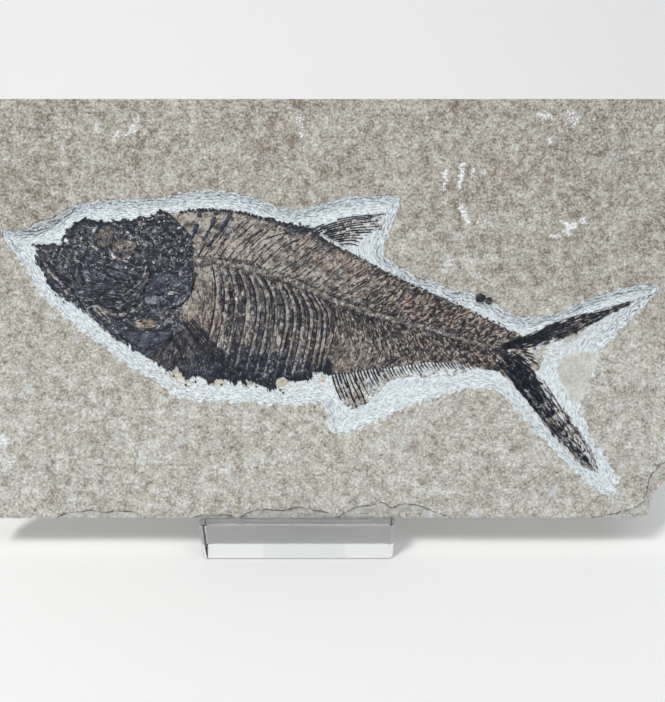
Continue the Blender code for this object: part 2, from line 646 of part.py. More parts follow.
def make_front_bar(parts, cutters):
    half_x = BAR_WIDTH / 2
    half_y = BAR_DEPTH / 2
    mesh = block_mesh(
        "stand_front_bar", (-half_x, -half_y, 0), (half_x, half_y, BAR_HEIGHT), BAR_DRAFT, BAR_CORNER
    )
    bar = linked("stand_front_bar", mesh, parts)
    far = 3 * BAR_DEPTH
    seat = helper("seat", block_mesh("seat", (-BAR_WIDTH, 0, 0), (BAR_WIDTH, far, far)), cutters)
    seat.location = seat_point()
    seat.rotation_euler = (-math.radians(SLAB_LEAN_DEG), 0, 0)
    boolean(bar, seat, "DIFFERENCE")


def easel_path():
    """Middle line of the bent sheet in the side view, from its foot on the seat to its foot on the table."""
    lean = math.radians(SLAB_LEAN_DEG)
    leg = math.radians(LEG_LEAN_DEG)
    up = Vector((0, math.sin(lean), math.cos(lean)))
    back = Vector((0, math.cos(lean), -math.sin(lean)))
    start = seat_point() + back * (SLAB_THICKNESS + GAP + SHEET / 2) * MM + up * GAP * MM
    bend_start = start + up * REST_LENGTH * MM
    centre = bend_start + back * BEND_RADIUS * MM
    path = [start]
    turn = math.pi - lean - leg
    for i in range(BEND_STEPS + 1):
        angle = turn * i / BEND_STEPS
        path.append(centre - (back * math.cos(angle) - up * math.sin(angle)) * BEND_RADIUS * MM)
    down = Vector((0, math.sin(leg), -math.cos(leg)))
    reach = (path[-1].z + 2 * SHEET * MM) / math.cos(leg)
    path.append(path[-1] + down * reach)
    return path


def make_easel(parts, cutters):
    shape = bmesh.new()
    half = Vector((EASEL_WIDTH / 2 * MM, 0, 0))
    rows = [(shape.verts.new(p - half), shape.verts.new(p + half)) for p in easel_path()]
    for (a, b), (c, d) in zip(rows, rows[1:]):
        shape.faces.new((a, b, d, c))
    mesh = bpy.data.meshes.new("stand_easel")
    shape.to_mesh(mesh)
    shape.free()
    easel = linked("stand_easel", mesh, parts)
    solidify = easel.modifiers.new("Solidify", "SOLIDIFY")
    solidify.thickness = SHEET * MM
    solidify.offset = 0
    solidify.use_even_offset = True
    low = (-EASEL_WIDTH, 0, -SLAB_HEIGHT)
    table = helper("table", block_mesh("table", low, (EASEL_WIDTH, SLAB_HEIGHT, 0)), cutters)
    boolean(easel, table, "DIFFERENCE")


def main():
    clear_scene()
    parts = new_collection("fossil_fish_slab")
    cutters = new_collection("cutters")
    face = place_face()
    make_slab(parts, cutters, face)
    make_trunk(parts, cutters, face)
    make_skull(parts, cutters, face)
    make_dorsal_fin(parts, cutters, face)
    make_anal_fin(parts, cutters, face)
    make_tail_fin(parts, cutters, face)
    make_nodule(parts, face)
    make_front_bar(parts, cutters)
    make_easel(parts, cutters)


main()
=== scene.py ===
"""The finished look of a fossil fish slab: the dark bones of a herring-like fish, in a scraped trench on
a slab of limestone that leans back on a clear stand.

Shapes on the slab are laid out in millimetres on its face: u runs to the right from the slab's middle,
v runs up the face from its lower edge, and w out of it.
"""

import math

import bmesh
import bpy
import numpy as np
from mathutils import Matrix, Vector, noise
from mathutils.geometry import delaunay_2d_cdt


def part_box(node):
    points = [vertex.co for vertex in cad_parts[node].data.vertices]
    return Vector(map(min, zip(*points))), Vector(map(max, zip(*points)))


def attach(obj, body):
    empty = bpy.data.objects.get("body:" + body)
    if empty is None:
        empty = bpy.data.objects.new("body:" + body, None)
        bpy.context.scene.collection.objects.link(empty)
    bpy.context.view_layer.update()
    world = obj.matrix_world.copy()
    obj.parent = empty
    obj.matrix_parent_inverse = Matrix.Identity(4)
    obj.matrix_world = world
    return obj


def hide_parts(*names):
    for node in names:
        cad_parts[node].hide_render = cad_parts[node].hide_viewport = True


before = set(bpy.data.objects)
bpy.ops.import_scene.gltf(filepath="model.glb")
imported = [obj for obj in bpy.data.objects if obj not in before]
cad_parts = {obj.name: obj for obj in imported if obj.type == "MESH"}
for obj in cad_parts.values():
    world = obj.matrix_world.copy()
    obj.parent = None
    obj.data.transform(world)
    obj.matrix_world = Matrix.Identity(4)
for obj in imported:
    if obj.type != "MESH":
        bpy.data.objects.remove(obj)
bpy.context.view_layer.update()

MM = 0.001
LEAN = math.radians(22)
ACROSS = Vector((1, 0, 0))
UP_THE_FACE = Vector((0, math.sin(LEAN), math.cos(LEAN)))
OUT_OF_THE_FACE = Vector((0, -math.cos(LEAN), math.sin(LEAN)))

# ---- measures, mm

SLAB_WIDTH = 280.0
SLAB_HEIGHT = 168.0
SLAB_THICKNESS = 10.0
BROKEN_CORNER = (
    (124.5, 0.2), (126.8, 1.4), (127.6, 4), (128.4, 7.4), (130.4, 11), (133.2, 14.2), (136.4, 17.8),
    (138.4, 19.2), (140, 21),
)
TRENCH_DEPTH = 1.25
TRENCH_AT_FISH = 0.85  # how deep the scraped stone lies beside the fish
RIM_SLOPE = 3.2  # width of the slope from the rim down to the trench's floor
SCRAPE_PITCH = 1.25  # between the tool's lines
FILM_TOP = -0.42
FINE_PITCH = 0.36  # spacing of mesh points where the stone was scraped
LEAST_GAP = 0.22
PLAIN_PITCH = 1.3
HIDDEN_PITCH = 2.5
EDGE_PITCH = 0.9
BACK_PITCH = 4.0
FILM_PITCH = 0.5
HEAD_PITCH = 0.4
TAIL_PITCH = 0.36
NODULE_PITCH = 0.16
POLISHED_EDGE = 0.45  # how far the stand's edges are rounded
ROW_RISE = 0.866  # between rows of points that lie in even triangles, in pitches

# The trench that was scraped round the fish
HALO = (
    (-131.5, 115.6), (-124.4, 115.8), (-120.4, 116.6), (-116.4, 119), (-111.6, 120.2), (-107.6, 123),
    (-102.4, 125.4), (-96.4, 127), (-84.4, 127.8), (-72.4, 128.2), (-60.4, 130.2), (-50.4, 131.4),
    (-42.4, 131), (-32.4, 129), (-24.4, 125.8), (-17.2, 123.8), (-10.4, 124.2), (-2.4, 126.6), (5.6, 128.6),
    (15.6, 129.4), (27.2, 129), (26.8, 123.4), (24, 115.4), (21.2, 108.2), (22.8, 104.2), (29.6, 99.4),
    (35.6, 95.8), (41.6, 95), (47.6, 91.8), (56.4, 90.2), (65.6, 86.2), (72.4, 81.8), (81.6, 80.6),
    (91.6, 83), (103.6, 88.2), (115.6, 92.2), (125.6, 93.8), (132, 93), (128.4, 87.8), (121.6, 81),
    (113.6, 72.6), (107.6, 67), (106.4, 61), (101.2, 50.2), (100, 43.4), (102.8, 35.4), (107.6, 27.4),
    (113.2, 19.4), (114.4, 13.8), (111.6, 9.8), (106.4, 11.4), (97.6, 19), (87.6, 29.4), (77.6, 39.8),
    (67.6, 50.6), (59.6, 52.2), (49.6, 51), (39.6, 48.2), (29.6, 44.2), (17.6, 39), (7.6, 35.4), (2.8, 34.2),
    (-0.4, 36.6), (-3.2, 45.8), (-16.4, 45.8), (-36.4, 46.6), (-52.4, 47.4), (-62.4, 49.4), (-69.2, 55.4),
    (-78.4, 59.8), (-89.2, 67.4), (-96.4, 73), (-104.4, 79), (-111.6, 85.4), (-117.2, 91.4), (-121.2, 98.2),
    (-126.4, 105.4), (-130.4, 110.6),
)

# Thin beds that have flaked off the face, above the lower edge and at the broken corner
FLAKES = (
    ((-108, -2), (-107, 1.8), (-101, 2.6), (-96, 3.2), (-90, 2.4), (-84, 3), (-77, 1.6), (-75.5, -2)),
    ((-55.5, -2), (-54, 0.8), (-46, 1.3), (-40.5, 1), (-38, -2)),
    ((-35, -2), (-33, 2.2), (-27.5, 3.6), (-20, 3.1), (-12.5, 4.4), (-6, 3.2), (-0.5, 1.8), (3, -2)),
    ((4.5, -2), (8.5, 3.8), (15.5, 5.2), (20.5, 6.4), (24.5, 4.2), (29, 5.8), (37.5, 4.2), (48, -2)),
    ((107.5, -2), (108, 1), (114.8, 2.2), (123.6, 5.4), (126.4, 11.4), (127.6, 16.2), (130, 19.4),
     (133.2, 22.2), (142, 25), (142, -2)),
)
UPPER_FLAKES = (
    ((-121.2, 115.8), (-119.2, 118.2), (-115.6, 119.4), (-111.6, 120.2), (-108.4, 122.6), (-101.2, 126.2),
     (-104, 122.4), (-109, 119.6), (-114, 118.4), (-118, 116.4)),
    ((-129.2, 115.8), (-123.6, 115), (-118.4, 115), (-112.4, 117), (-108.4, 119.4), (-112, 116.4),
     (-118, 113.6), (-126, 114)),
)
SMOOTH_PATCH = ((92, 64), (98, 66.5), (105.6, 66.6), (106.4, 61.4), (103.6, 55.4), (100.8, 49.4),
                (98.6, 46), (95, 50), (91, 57))

# Fish, head to the left
SKULL_FRONT = (
    (-118.8, 109), (-113.2, 109.4), (-108, 108.6), (-106.8, 112.2), (-105.6, 115.4), (-102, 117.8),
    (-98.8, 119.8), (-95.6, 118.6), (-87.6, 118.6), (-80.4, 119), (-78, 120.2), (-72.4, 120.6),
    (-67.6, 123.4),
)
GILL_LINE = (
    (-64.4, 122.2), (-62, 119), (-56.4, 113.8), (-54.8, 109), (-55.2, 102.6), (-55.2, 92.2), (-58, 87.8),
    (-60.4, 83.8), (-61.2, 80.2), (-58, 77), (-62, 73.8), (-66.8, 70.2), (-70, 66.6), (-73.2, 64.2),
)
JAW_AND_THROAT = (
    (-78.4, 67.4), (-81.2, 70.2), (-85.2, 71.8), (-89.2, 75), (-92.8, 78.2), (-96, 81.4), (-97.2, 83.4),
    (-100.4, 84.2), (-102.4, 86.6), (-106, 87.8), (-108.4, 89), (-111.6, 92.2), (-113.6, 95.4),
    (-115.2, 100.2), (-117.2, 101.8), (-118.4, 104.6), (-115.2, 105), (-117.2, 107.4),
)
BACK = (
    (-60.4, 122.6), (-56.4, 123.4), (-48.4, 123.8), (-41.2, 123.4), (-35.6, 122.6), (-30, 121),
    (-24.4, 119.8), (-18.4, 117.8), (-12.4, 117), (-7.6, 115.4), (-4.4, 113), (-0.4, 110.2), (5.6, 107.4),
    (11.6, 104.6), (17.6, 101), (22.8, 98.6), (28.4, 95.8), (33.6, 93), (39.6, 90.6), (45.6, 87.8),
    (50, 85.8), (54, 84.2), (59.6, 81), (65.6, 78.2), (70.4, 75.8), (74, 74.2),
)
TAIL_JOIN = (
    (77.6, 72.6), (72.4, 71.4), (68.4, 69.8), (66.8, 67.4), (64.8, 65), (66, 61.8), (67.2, 58.6),
)
BELLY = (
    (64.4, 59.4), (59.6, 60.2), (53.6, 61.4), (47.6, 62.2), (39.6, 62.6), (29.6, 61.4), (21.6, 60.2),
    (13.6, 59.4), (7.6, 58.2), (2, 57.8), (-1.2, 57),
)
BELLY_SCUTES = (
    (-2.4, 58.6), (-8, 58.6), (-8.8, 55.4), (-12.8, 55), (-16.8, 55.4), (-19.2, 56.6), (-22, 55.8),
    (-23.2, 51.8), (-26.8, 52.6), (-31.6, 55), (-34, 55.8), (-34.8, 53.8), (-37.2, 55.8), (-38, 53.4),
    (-41.2, 55.8), (-46, 55.8), (-48.4, 53.8), (-50.8, 56.2), (-54.4, 57.4), (-58, 55.8), (-60, 58.6),
    (-62, 61), (-65.6, 59), (-68.4, 61.4), (-70.4, 63),
)
COLUMN = (
    (-54.2, 103), (-46.4, 102.8), (-38.4, 101.4), (-30.4, 99.4), (-22.4, 97), (-16.4, 95), (-10.4, 92.6),
    (0, 87.8), (8.4, 84.6), (16.8, 81.8), (27.6, 79), (37.2, 76.6), (46, 73.8), (54, 71), (61.2, 69.4),
    (65.8, 68.4),
)
DORSAL_EDGE = (
    (9.4, 108.2), (15.6, 112.4), (21.2, 115), (22.8, 119.8), (22, 122.6), (5.6, 121), (-0.4, 119.4),
    (-5.2, 117.4), (-8.4, 115.6), (-4.4, 112.6), (-0.4, 109.8), (5.6, 107),
)
ANAL_EDGE = (
    (55, 61.8), (47.6, 62.6), (39.6, 63), (29.6, 61.8), (21.6, 60.6), (13.6, 59.8), (7.6, 58.6), (2, 58.2),
    (-1.2, 57.4), (-0.4, 53), (0.6, 51.2), (4, 45), (8, 42.2), (12.8, 43), (18.8, 48.2), (24, 53.8),
    (31.6, 55.4), (39.6, 54.6), (48.4, 55.4), (56, 57.6),
)
TAIL_EDGE = (
    (66, 67), (72, 71.2), (80.5, 73.4), (87.6, 77.4), (91.6, 79), (97.6, 80.6), (109.6, 84.2), (115.6, 86.2),
    (123.6, 88), (120.4, 85.8), (115.6, 83), (109.6, 80.6), (104.4, 77), (99.6, 74.6), (94, 71.8),
    (86.8, 69), (83.2, 67.8), (85.6, 64.2), (84, 60.2), (82, 58.2), (84, 55.4), (87.2, 53), (88, 50.2),
    (90.8, 46.6), (94.8, 42.2), (98, 37.4), (101.6, 32.2), (104.8, 27.4), (106.4, 23.4), (107.6, 17.8),
    (103.6, 18.8), (98, 22), (92.4, 28), (88.4, 33.2), (85.2, 37.6), (81.6, 43.2), (78, 47.2), (74, 52),
    (69.6, 56.6), (65.4, 60), (64, 64),
)

# Ribs: the front, middle and rear one, each from the backbone through its bend to its foot
FRONT_RIB = ((-51.6, 102), (-51.2, 92), (-52.2, 83), (-54.6, 72))
MIDDLE_RIB = ((-27.6, 97), (-23.8, 88), (-23.8, 76), (-28.4, 57))
REAR_RIB = ((-6.4, 91), (-1.2, 82), (-1.2, 74), (-3.6, 60))
RIB_COUNT = 16
RIB_POINTS = 24
VERTEBRA_COUNT = 46


# ---- drawing on the face

def spaced(points, step, closed=False):
    """Points about a step apart along straight runs between the given ones."""
    points = np.asarray(points, float)
    ends = np.roll(points, -1, 0) if closed else points[1:]
    rows = []
    for start, end in zip(points, ends):
        count = max(1, round(float(np.linalg.norm(end - start)) / step))
        rows.append(start + (end - start) * (np.arange(count) / count)[:, None])
    if not closed:
        rows.append(points[-1:])
    return np.concatenate(rows)


def smooth_run(points, step, closed=False):
    """Points about a step apart along a smooth curve through the given ones."""
    points = np.asarray(points, float)
    count = len(points)
    rows = []
    for i in range(count if closed else count - 1):
        picks = [(i + k) % count if closed else min(max(i + k, 0), count - 1) for k in (-1, 0, 1, 2)]
        a, b, c, d = points[picks]
        steps = max(1, round(float(np.linalg.norm(c - b)) / step))
        t = (np.arange(steps) / steps)[:, None]
        rows.append(0.5 * (2 * b + (c - a) * t + (2 * a - 5 * b + 4 * c - d) * t ** 2
                           + (3 * b - a - 3 * c + d) * t ** 3))
    if not closed:
        rows.append(points[-1:])
    return np.concatenate(rows)


def lumps(points, size, seed=0.0, octaves=3):
    """Smooth noise over points, from about -1 to 1, its lumps about size across."""
    return np.array([
        noise.fractal(Vector((u / size + 7.3 * seed, v / size - 3.1 * seed, seed)), 1.0, 2.0, octaves)
        for u, v in np.asarray(points)[:, :2]
    ])


def inside(points, outline):
    """Whether each point lies within an outline."""
    u, v = points[:, 0], points[:, 1]
    within = np.zeros(len(points), bool)
    for (u0, v0), (u1, v1) in zip(outline, np.roll(outline, -1, 0)):
        if v0 != v1:
            within ^= ((v0 > v) != (v1 > v)) & (u < (u1 - u0) * (v - v0) / (v1 - v0) + u0)
    return within


def nearest(points, run, closed=False):
    """For each point: its distance to a run of straight lines, and how far along the run that is."""
    run = np.asarray(run, float)
    ends = np.roll(run, -1, 0) if closed else run[1:]
    best = np.full(len(points), 1e9)
    place = np.zeros(len(points))
    walked = 0.0
    for start, end in zip(run, ends):
        step = end - start
        length = max(float(np.hypot(*step)), 1e-9)
        t = np.clip(((points - start) @ step) / length ** 2, 0, 1)
        gap = np.hypot(*(points - start - t[:, None] * step).T)
        closer = gap < best
        best[closer] = gap[closer]
        place[closer] = walked + t[closer] * length
        walked += length
    return best, place


def signed(points, outline):
    """Distance to an outline: positive inside it, negative outside."""
    gap, _ = nearest(points, outline, closed=True)
    return np.where(inside(points, outline), gap, -gap)


def ease(value, low, high):
    """0 at low, 1 at high, and smooth between them."""
    t = np.clip((value - low) / (high - low), 0, 1)
    return t * t * (3 - 2 * t)


def blots(points, patches, ragged=0.35, size=2.5, seed=0.0):
    """How far soft patches (u, v, half width, half height, turn in degrees, strength) cover points."""
    cover = np.zeros(len(points))
    wobble = 1 + ragged * lumps(points, size, seed)
    for u, v, half_u, half_v, turn, strength in patches:
        c, s = math.cos(math.radians(turn)), math.sin(math.radians(turn))
        du, dv = points[:, 0] - u, points[:, 1] - v
        reach = np.hypot((du * c + dv * s) / half_u, (dv * c - du * s) / half_v) * wobble
        cover = np.maximum(cover, strength * (1 - ease(reach, 0.75, 1.15)))
    return cover


def height_at(profile, u):
    """v of a run at u."""
    run = sorted(map(tuple, profile))
    return np.interp(u, [p[0] for p in run], [p[1] for p in run])


def scatter(outline, pitch, rng, margin=0.6):
    """Points about a pitch apart that fill an outline, slightly out of line, clear of its edge."""
    outline = np.asarray(outline)
    low, high = outline.min(0), outline.max(0)
    rows = int((high[1] - low[1]) / (pitch * ROW_RISE)) + 2
    columns = int((high[0] - low[0]) / pitch) + 2
    row, column = np.mgrid[0:rows, 0:columns]
    across = low[0] + (column + 0.5 * (row % 2)) * pitch
    grid = np.stack([across, low[1] + row * pitch * ROW_RISE], -1)
    grid = grid.reshape(-1, 2) + rng.uniform(-0.22, 0.22, (rows * columns, 2)) * pitch
    grid = grid[inside(grid, outline)]
    gap, _ = nearest(grid, outline, closed=True)
    return grid[gap > margin * pitch]


def fill(outline, inner=()):
    """Points and triangles over an outline: its own points come first, in order."""
    spots = [Vector(p) for p in outline] + [Vector(p) for p in inner]
    loop = list(range(len(outline)))
    points, _, faces, *_ = delaunay_2d_cdt(spots, [], [loop], 1, 1e-5)
    points = np.array([tuple(p) for p in points])
    triangles = np.array([f for f in faces if len(f) == 3])
    a, b, c = (points[triangles[:, k]] for k in (0, 1, 2))
    turn = (b - a)[:, 0] * (c - a)[:, 1] - (b - a)[:, 1] * (c - a)[:, 0]
    triangles[turn < 0] = triangles[turn < 0][:, ::-1]
    return points, triangles


# ---- pieces

def make_piece(name, corners, faces, material, stands_for, values, smooth=True):
    """A piece laid out on the slab's face, in mm, with named values at its points for its material."""
    mesh = bpy.data.meshes.new(name)
    mesh.from_pydata((np.asarray(corners) * MM).tolist(), [], [tuple(f) for f in faces])
    for value_name, value in values.items():
        value = np.asarray(value, np.float32)
        kind, field = ("FLOAT", "value") if value.ndim == 1 else ("FLOAT_VECTOR", "vector")
        mesh.attributes.new(value_name, kind, "POINT").data.foreach_set(field, value.ravel())
    if smooth:
        mesh.shade_smooth()
        mesh.set_sharp_from_angle(angle=math.radians(55))
    mesh.materials.append(material)
    piece = bpy.data.objects.new(name, mesh)
    bpy.context.scene.collection.objects.link(piece)
    piece.matrix_world = FACE
    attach(piece, "root")
    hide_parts(*stands_for)


def plate(outline, inner, top, under):
    """Corners and faces of a closed plate: its top follows a height function, its underside is flat."""
    points, triangles = fill(outline, inner)
    count, edge = len(points), len(outline)
    upper = np.column_stack([points, top(points)])
    lower = np.column_stack([points[:edge], np.full(edge, under)])
    _, below = fill(outline)
    following = np.roll(np.arange(edge), -1)
    skirt = np.column_stack([np.arange(edge), count + np.arange(edge), count + following, following])
    if signed_area(outline) < 0:
        skirt = skirt[:, ::-1]
    faces = triangles.tolist() + (count + below[:, ::-1]).tolist() + skirt.tolist()
    return np.vstack([upper, lower]), faces, points


def signed_area(outline):
    u, v = np.asarray(outline, float).T
    return float(np.dot(u, np.roll(v, -1)) - np.dot(v, np.roll(u, -1))) / 2


def bar_along(run, widths, heights, base, sink=0.12):
    """A half-round bar along a run of face points, closed, its foot sunk below the base heights."""
    run = np.asarray(run, float)
    heading = np.gradient(run, axis=0)
    heading /= np.maximum(np.hypot(*heading.T)[:, None], 1e-9)
    side = np.column_stack([-heading[:, 1], heading[:, 0]])
    corners = []
    for share, rise in ((-1, 0), (-0.62, 0.78), (0, 1), (0.62, 0.78), (1, 0)):
        spot = run + side * (share * widths)[:, None]
        lift = base - sink if rise == 0 else base + rise * heights
        corners.append(np.column_stack([spot, lift]))
    corners = np.stack(corners, 1)
    count = len(run)
    faces = []
    for i in range(count - 1):
        for k in range(5):
            j = (k + 1) % 5
            faces.append((5 * i + k, 5 * i + 5 + k, 5 * i + 5 + j, 5 * i + j))
    faces.append(tuple(range(5)))
    faces.append(tuple(5 * (count - 1) + k for k in reversed(range(5))))
    return corners.reshape(-1, 3), faces


class Bundle:
    """Collects many small closed shapes into one piece."""

    def __init__(self):
        self.corners = []
        self.faces = []
        self.count = 0

    def add(self, corners, faces):
        self.corners.append(corners)
        self.faces.extend(tuple(int(i) + self.count for i in f) for f in faces)
        self.count += len(corners)

    def all_corners(self):
        return np.vstack(self.corners)


def add_bars(bundle, runs, rng, width, height, level, broken=0.0, ragged=0.25, step=0.8, taper=0.45):
    """Bony bars along runs of points: tapered to their tips, uneven, and broken here and there."""
    for run in runs:
        path = smooth_run(run, step)
        if len(path) < 4:
            path = spaced(path, step / 3)
        share = np.linspace(0, 1, len(path))
        uneven = 1 + ragged * lumps(path, 2.2, rng.uniform(0, 50))
        ends = np.minimum(1, np.minimum(share, 1 - share) * len(path) / 2.5 + 0.25)
        widths = width * (1 - (1 - taper) * share) * uneven * ends
        heights = height * (1 - 0.5 * share) * uneven * ends
        base = level(path)
        pieces = [(0, len(path))]
        if broken and len(path) > 8:
            cuts = sorted(rng.integers(3, len(path) - 3, rng.binomial(len(path) // 6, broken)))
            marks = [0, *cuts, len(path)]
            pieces = [(a if a == 0 else a + 1, b) for a, b in zip(marks, marks[1:]) if b - a > 3]
        for first, last in pieces:
            kept = slice(first, last)
            bundle.add(*bar_along(path[kept], widths[kept], heights[kept], base[kept]))


def finish_bundle(name, bundle, material, stands_for, tone, spread):
    """A bundle made into a piece, its tone (paleness, rust, blue) uneven in paleness."""
    corners = bundle.all_corners()
    tones = np.tile(np.array(tone, float), (len(corners), 1))
    tones[:, 0] += spread * lumps(corners, 1.7, 41)
    make_piece(name, corners, bundle.faces, material, stands_for, {"tone": tones})


class Scraps(Bundle):
    """Thin angular scraps in one piece, each tilted a little and with its own tone."""

    def __init__(self, rng):
        super().__init__()
        self.rng = rng
        self.tones = []

    def place(self, spot, long, wide, turn, lift, level, tone, corner_count=0):
        count = corner_count or int(self.rng.integers(5, 8))
        angles = (np.arange(count) + self.rng.uniform(-0.35, 0.35, count)) * 2 * math.pi / count
        reach = self.rng.uniform(0.6, 1.15, count)
        flat = np.column_stack([long * reach * np.cos(angles), wide * reach * np.sin(angles)])
        c, s = math.cos(turn), math.sin(turn)
        rim = np.asarray(spot) + flat @ np.array(((c, s), (-s, c)))
        base = level(rim)
        top = base.mean() + lift + (rim - spot) @ self.rng.normal(0, 0.1, 2)
        foot = np.minimum(base, top) - 0.15
        inner = np.asarray(spot) + 0.86 * (rim - spot)
        corners = np.vstack([np.column_stack([inner, top]), np.column_stack([rim, foot])])
        faces = [tuple(range(count)), tuple(range(2 * count - 1, count - 1, -1))]
        faces += [(count + k, count + (k + 1) % count, (k + 1) % count, k) for k in range(count)]
        self.add(corners, faces)
        self.tones.append(np.tile(np.array(tone, float), (2 * count, 1)))

    def finish(self, name, material, slot, stands_for):
        make_piece(name, self.all_corners(), self.faces, material, stands_for,
                   {"tone": np.vstack(self.tones)}, smooth=False)


def scatter_scraps(name, outline, every, rng, choose, material, slot, stands_for):
    """Scraps over an outline; choose gives each its size, turn, lift, level and tone, or None."""
    scraps = Scraps(rng)
    for spot in scatter(np.asarray(outline), every, rng):
        chosen = choose(spot)
        if chosen is not None:
            scraps.place(spot, *chosen)
    scraps.finish(name, material, slot, stands_for)


def one_of(choices, pick):
    """The first choice whose limit is above a pick from 0 to 1."""
    return next(choice for limit, choice in choices if pick < limit)


# ---- materials

def feed(tree, socket, value):
    """A value into a node's input: a link from a socket, or the plain value."""
    if isinstance(value, bpy.types.NodeSocket):
        tree.links.new(value, socket)
    else:
        socket.default_value = value


def add_node(tree, kind, values=None, **settings):
    """A shader node with its settings made and its inputs filled from sockets or plain values."""
    made = tree.nodes.new(kind)
    for name, setting in settings.items():
        setattr(made, name, setting)
    for key, value in (values or {}).items():
        feed(tree, made.inputs[key], value)
    return made


def calc(tree, operation, first, second=0.0, third=0.0, clamp=False):
    values = {0: first, 1: second, 2: third}
    return add_node(tree, "ShaderNodeMath", values, operation=operation, use_clamp=clamp).outputs[0]


def times(tree, first, second, clamp=False):
    return calc(tree, "MULTIPLY", first, second, clamp=clamp)


def centred(tree, value):
    """A value from 0 to 1, made to swing about 0."""
    return calc(tree, "SUBTRACT", value, 0.5)


def vector_calc(tree, operation, values):
    return add_node(tree, "ShaderNodeVectorMath", values, operation=operation).outputs[0]


def stepped(tree, value, low, high, to_low=0.0, to_high=1.0):
    """A value eased from one range to another."""
    values = {"Value": value, "From Min": low, "From Max": high, "To Min": to_low, "To Max": to_high}
    return add_node(tree, "ShaderNodeMapRange", values, interpolation_type="SMOOTHSTEP").outputs[0]


def laid_over(tree, cover, under, over, mode="MIX"):
    """One colour laid over another as far as a mask covers it."""
    values = {0: cover, 6: under, 7: over}
    return add_node(tree, "ShaderNodeMix", values, data_type="RGBA", blend_type=mode).outputs[2]


def tinted(tree, colour, tint):
    return laid_over(tree, 1.0, colour, tint, "MULTIPLY")


def scaled_colour(tree, colour, factor):
    return vector_calc(tree, "SCALE", {0: colour, "Scale": factor})


def speckle(tree, coordinates, size, detail=2.0, rough=0.55, twist=0.0):
    """Noise whose spots are about size mm across."""
    return add_node(tree, "ShaderNodeTexNoise", {
        "Vector": coordinates, "Scale": 1 / size, "Detail": detail, "Roughness": rough, "Distortion": twist,
    }).outputs[0]


def shards(tree, coordinates, size):
    """A random value for each of many small angular cells, about size mm across."""
    bent = add_node(tree, "ShaderNodeTexNoise", {"Vector": coordinates, "Scale": 1 / size, "Detail": 2.0})
    shift = vector_calc(tree, "SCALE", {0: bent.outputs["Color"], "Scale": 0.5 * size})
    spot = vector_calc(tree, "ADD", {0: coordinates, 1: shift})
    cells = add_node(tree, "ShaderNodeTexVoronoi", {"Vector": spot, "Scale": 1 / size})
    return add_node(tree, "ShaderNodeSeparateXYZ", {0: cells.outputs["Color"]}).outputs["X"]


def stretched(tree, coordinates, factors):
    return vector_calc(tree, "MULTIPLY", {0: coordinates, 1: factors})


def point_value(tree, name, vector=False):
    made = add_node(tree, "ShaderNodeAttribute", attribute_name=name)
    return made.outputs["Vector" if vector else "Fac"]


def face_coordinates(tree):
    """Place on the slab in mm."""
    return stretched(tree, add_node(tree, "ShaderNodeTexCoord").outputs["Object"], (1000, 1000, 1000))


SOCKET_KINDS = {float: "NodeSocketFloat", tuple: "NodeSocketColor", type(None): "NodeSocketVector"}


def new_group(name, inputs, outputs):
    """An effect that several materials share, with named inputs and outputs."""
    tree = bpy.data.node_groups.new(name, "ShaderNodeTree")
    for socket_name, value in inputs.items():
        kind = SOCKET_KINDS[type(value)]
        socket = tree.interface.new_socket(socket_name, in_out="INPUT", socket_type=kind)
        if value is not None:
            socket.default_value = value
    for socket_name, kind in outputs.items():
        tree.interface.new_socket(socket_name, in_out="OUTPUT", socket_type=kind)
    taken = tree.nodes.new("NodeGroupInput").outputs
    given = tree.nodes.new("NodeGroupOutput").inputs
    return tree, taken, given


def use_group(tree, group, values):
    """A shared effect placed in a material with its own values; gives its outputs."""
    made = tree.nodes.new("ShaderNodeGroup")
    made.node_tree = group
    for key, value in values.items():
        feed(tree, made.inputs[key], value)
    return made.outputs


def make_stone_grain():
    """Beige and brown mottles with a fine crystalline grain, as a colour and a height."""
    tree, taken, given = new_group(
        "stone_grain",
        {"Coordinates": None, "Pale": (0.66, 0.66, 0.605, 1), "Brown": (0.195, 0.152, 0.115, 1),
         "Warmth": 0.5},
        {"Color": "NodeSocketColor", "Height": "NodeSocketFloat"},
    )
    spot = taken["Coordinates"]
    clouds = centred(tree, speckle(tree, spot, 18, 2, 0.5))
    mottles = centred(tree, speckle(tree, spot, 4.4, 6, 0.76))
    grains = centred(tree, speckle(tree, spot, 1.0, 3, 0.8))
    crystals = centred(tree, shards(tree, spot, 0.85))
    mixed = calc(tree, "MULTIPLY_ADD", mottles, 2.9, times(tree, clouds, 0.6))
    mixed = calc(tree, "MULTIPLY_ADD", grains, 3.0, mixed)
    mixed = calc(tree, "MULTIPLY_ADD", crystals, 0.42, mixed)
    mixed = calc(tree, "MULTIPLY_ADD", mixed, 0.8, taken["Warmth"])
    brownness = times(tree, mixed, 1.0, clamp=True)
    colour = laid_over(tree, brownness, taken["Pale"], taken["Brown"])
    whitest = stepped(tree, mixed, 0.12, -0.30, 0.0, 0.85)
    colour = laid_over(tree, whitest, colour, (0.78, 0.83, 0.87, 1))
    chalky = stepped(tree, speckle(tree, spot, 7, 5, 0.7, 0.4), 0.57, 0.67)
    cool = times(tree, chalky, stepped(tree, taken["Warmth"], 0.55, 0.30, 0.1, 0.45))
    colour = laid_over(tree, cool, colour, (0.66, 0.73, 0.79, 1))
    tree.links.new(colour, given["Color"])
    rough = calc(tree, "ADD", times(tree, mottles, 1.2), grains)
    tree.links.new(calc(tree, "MULTIPLY_ADD", crystals, 0.35, rough), given["Height"])
    return tree


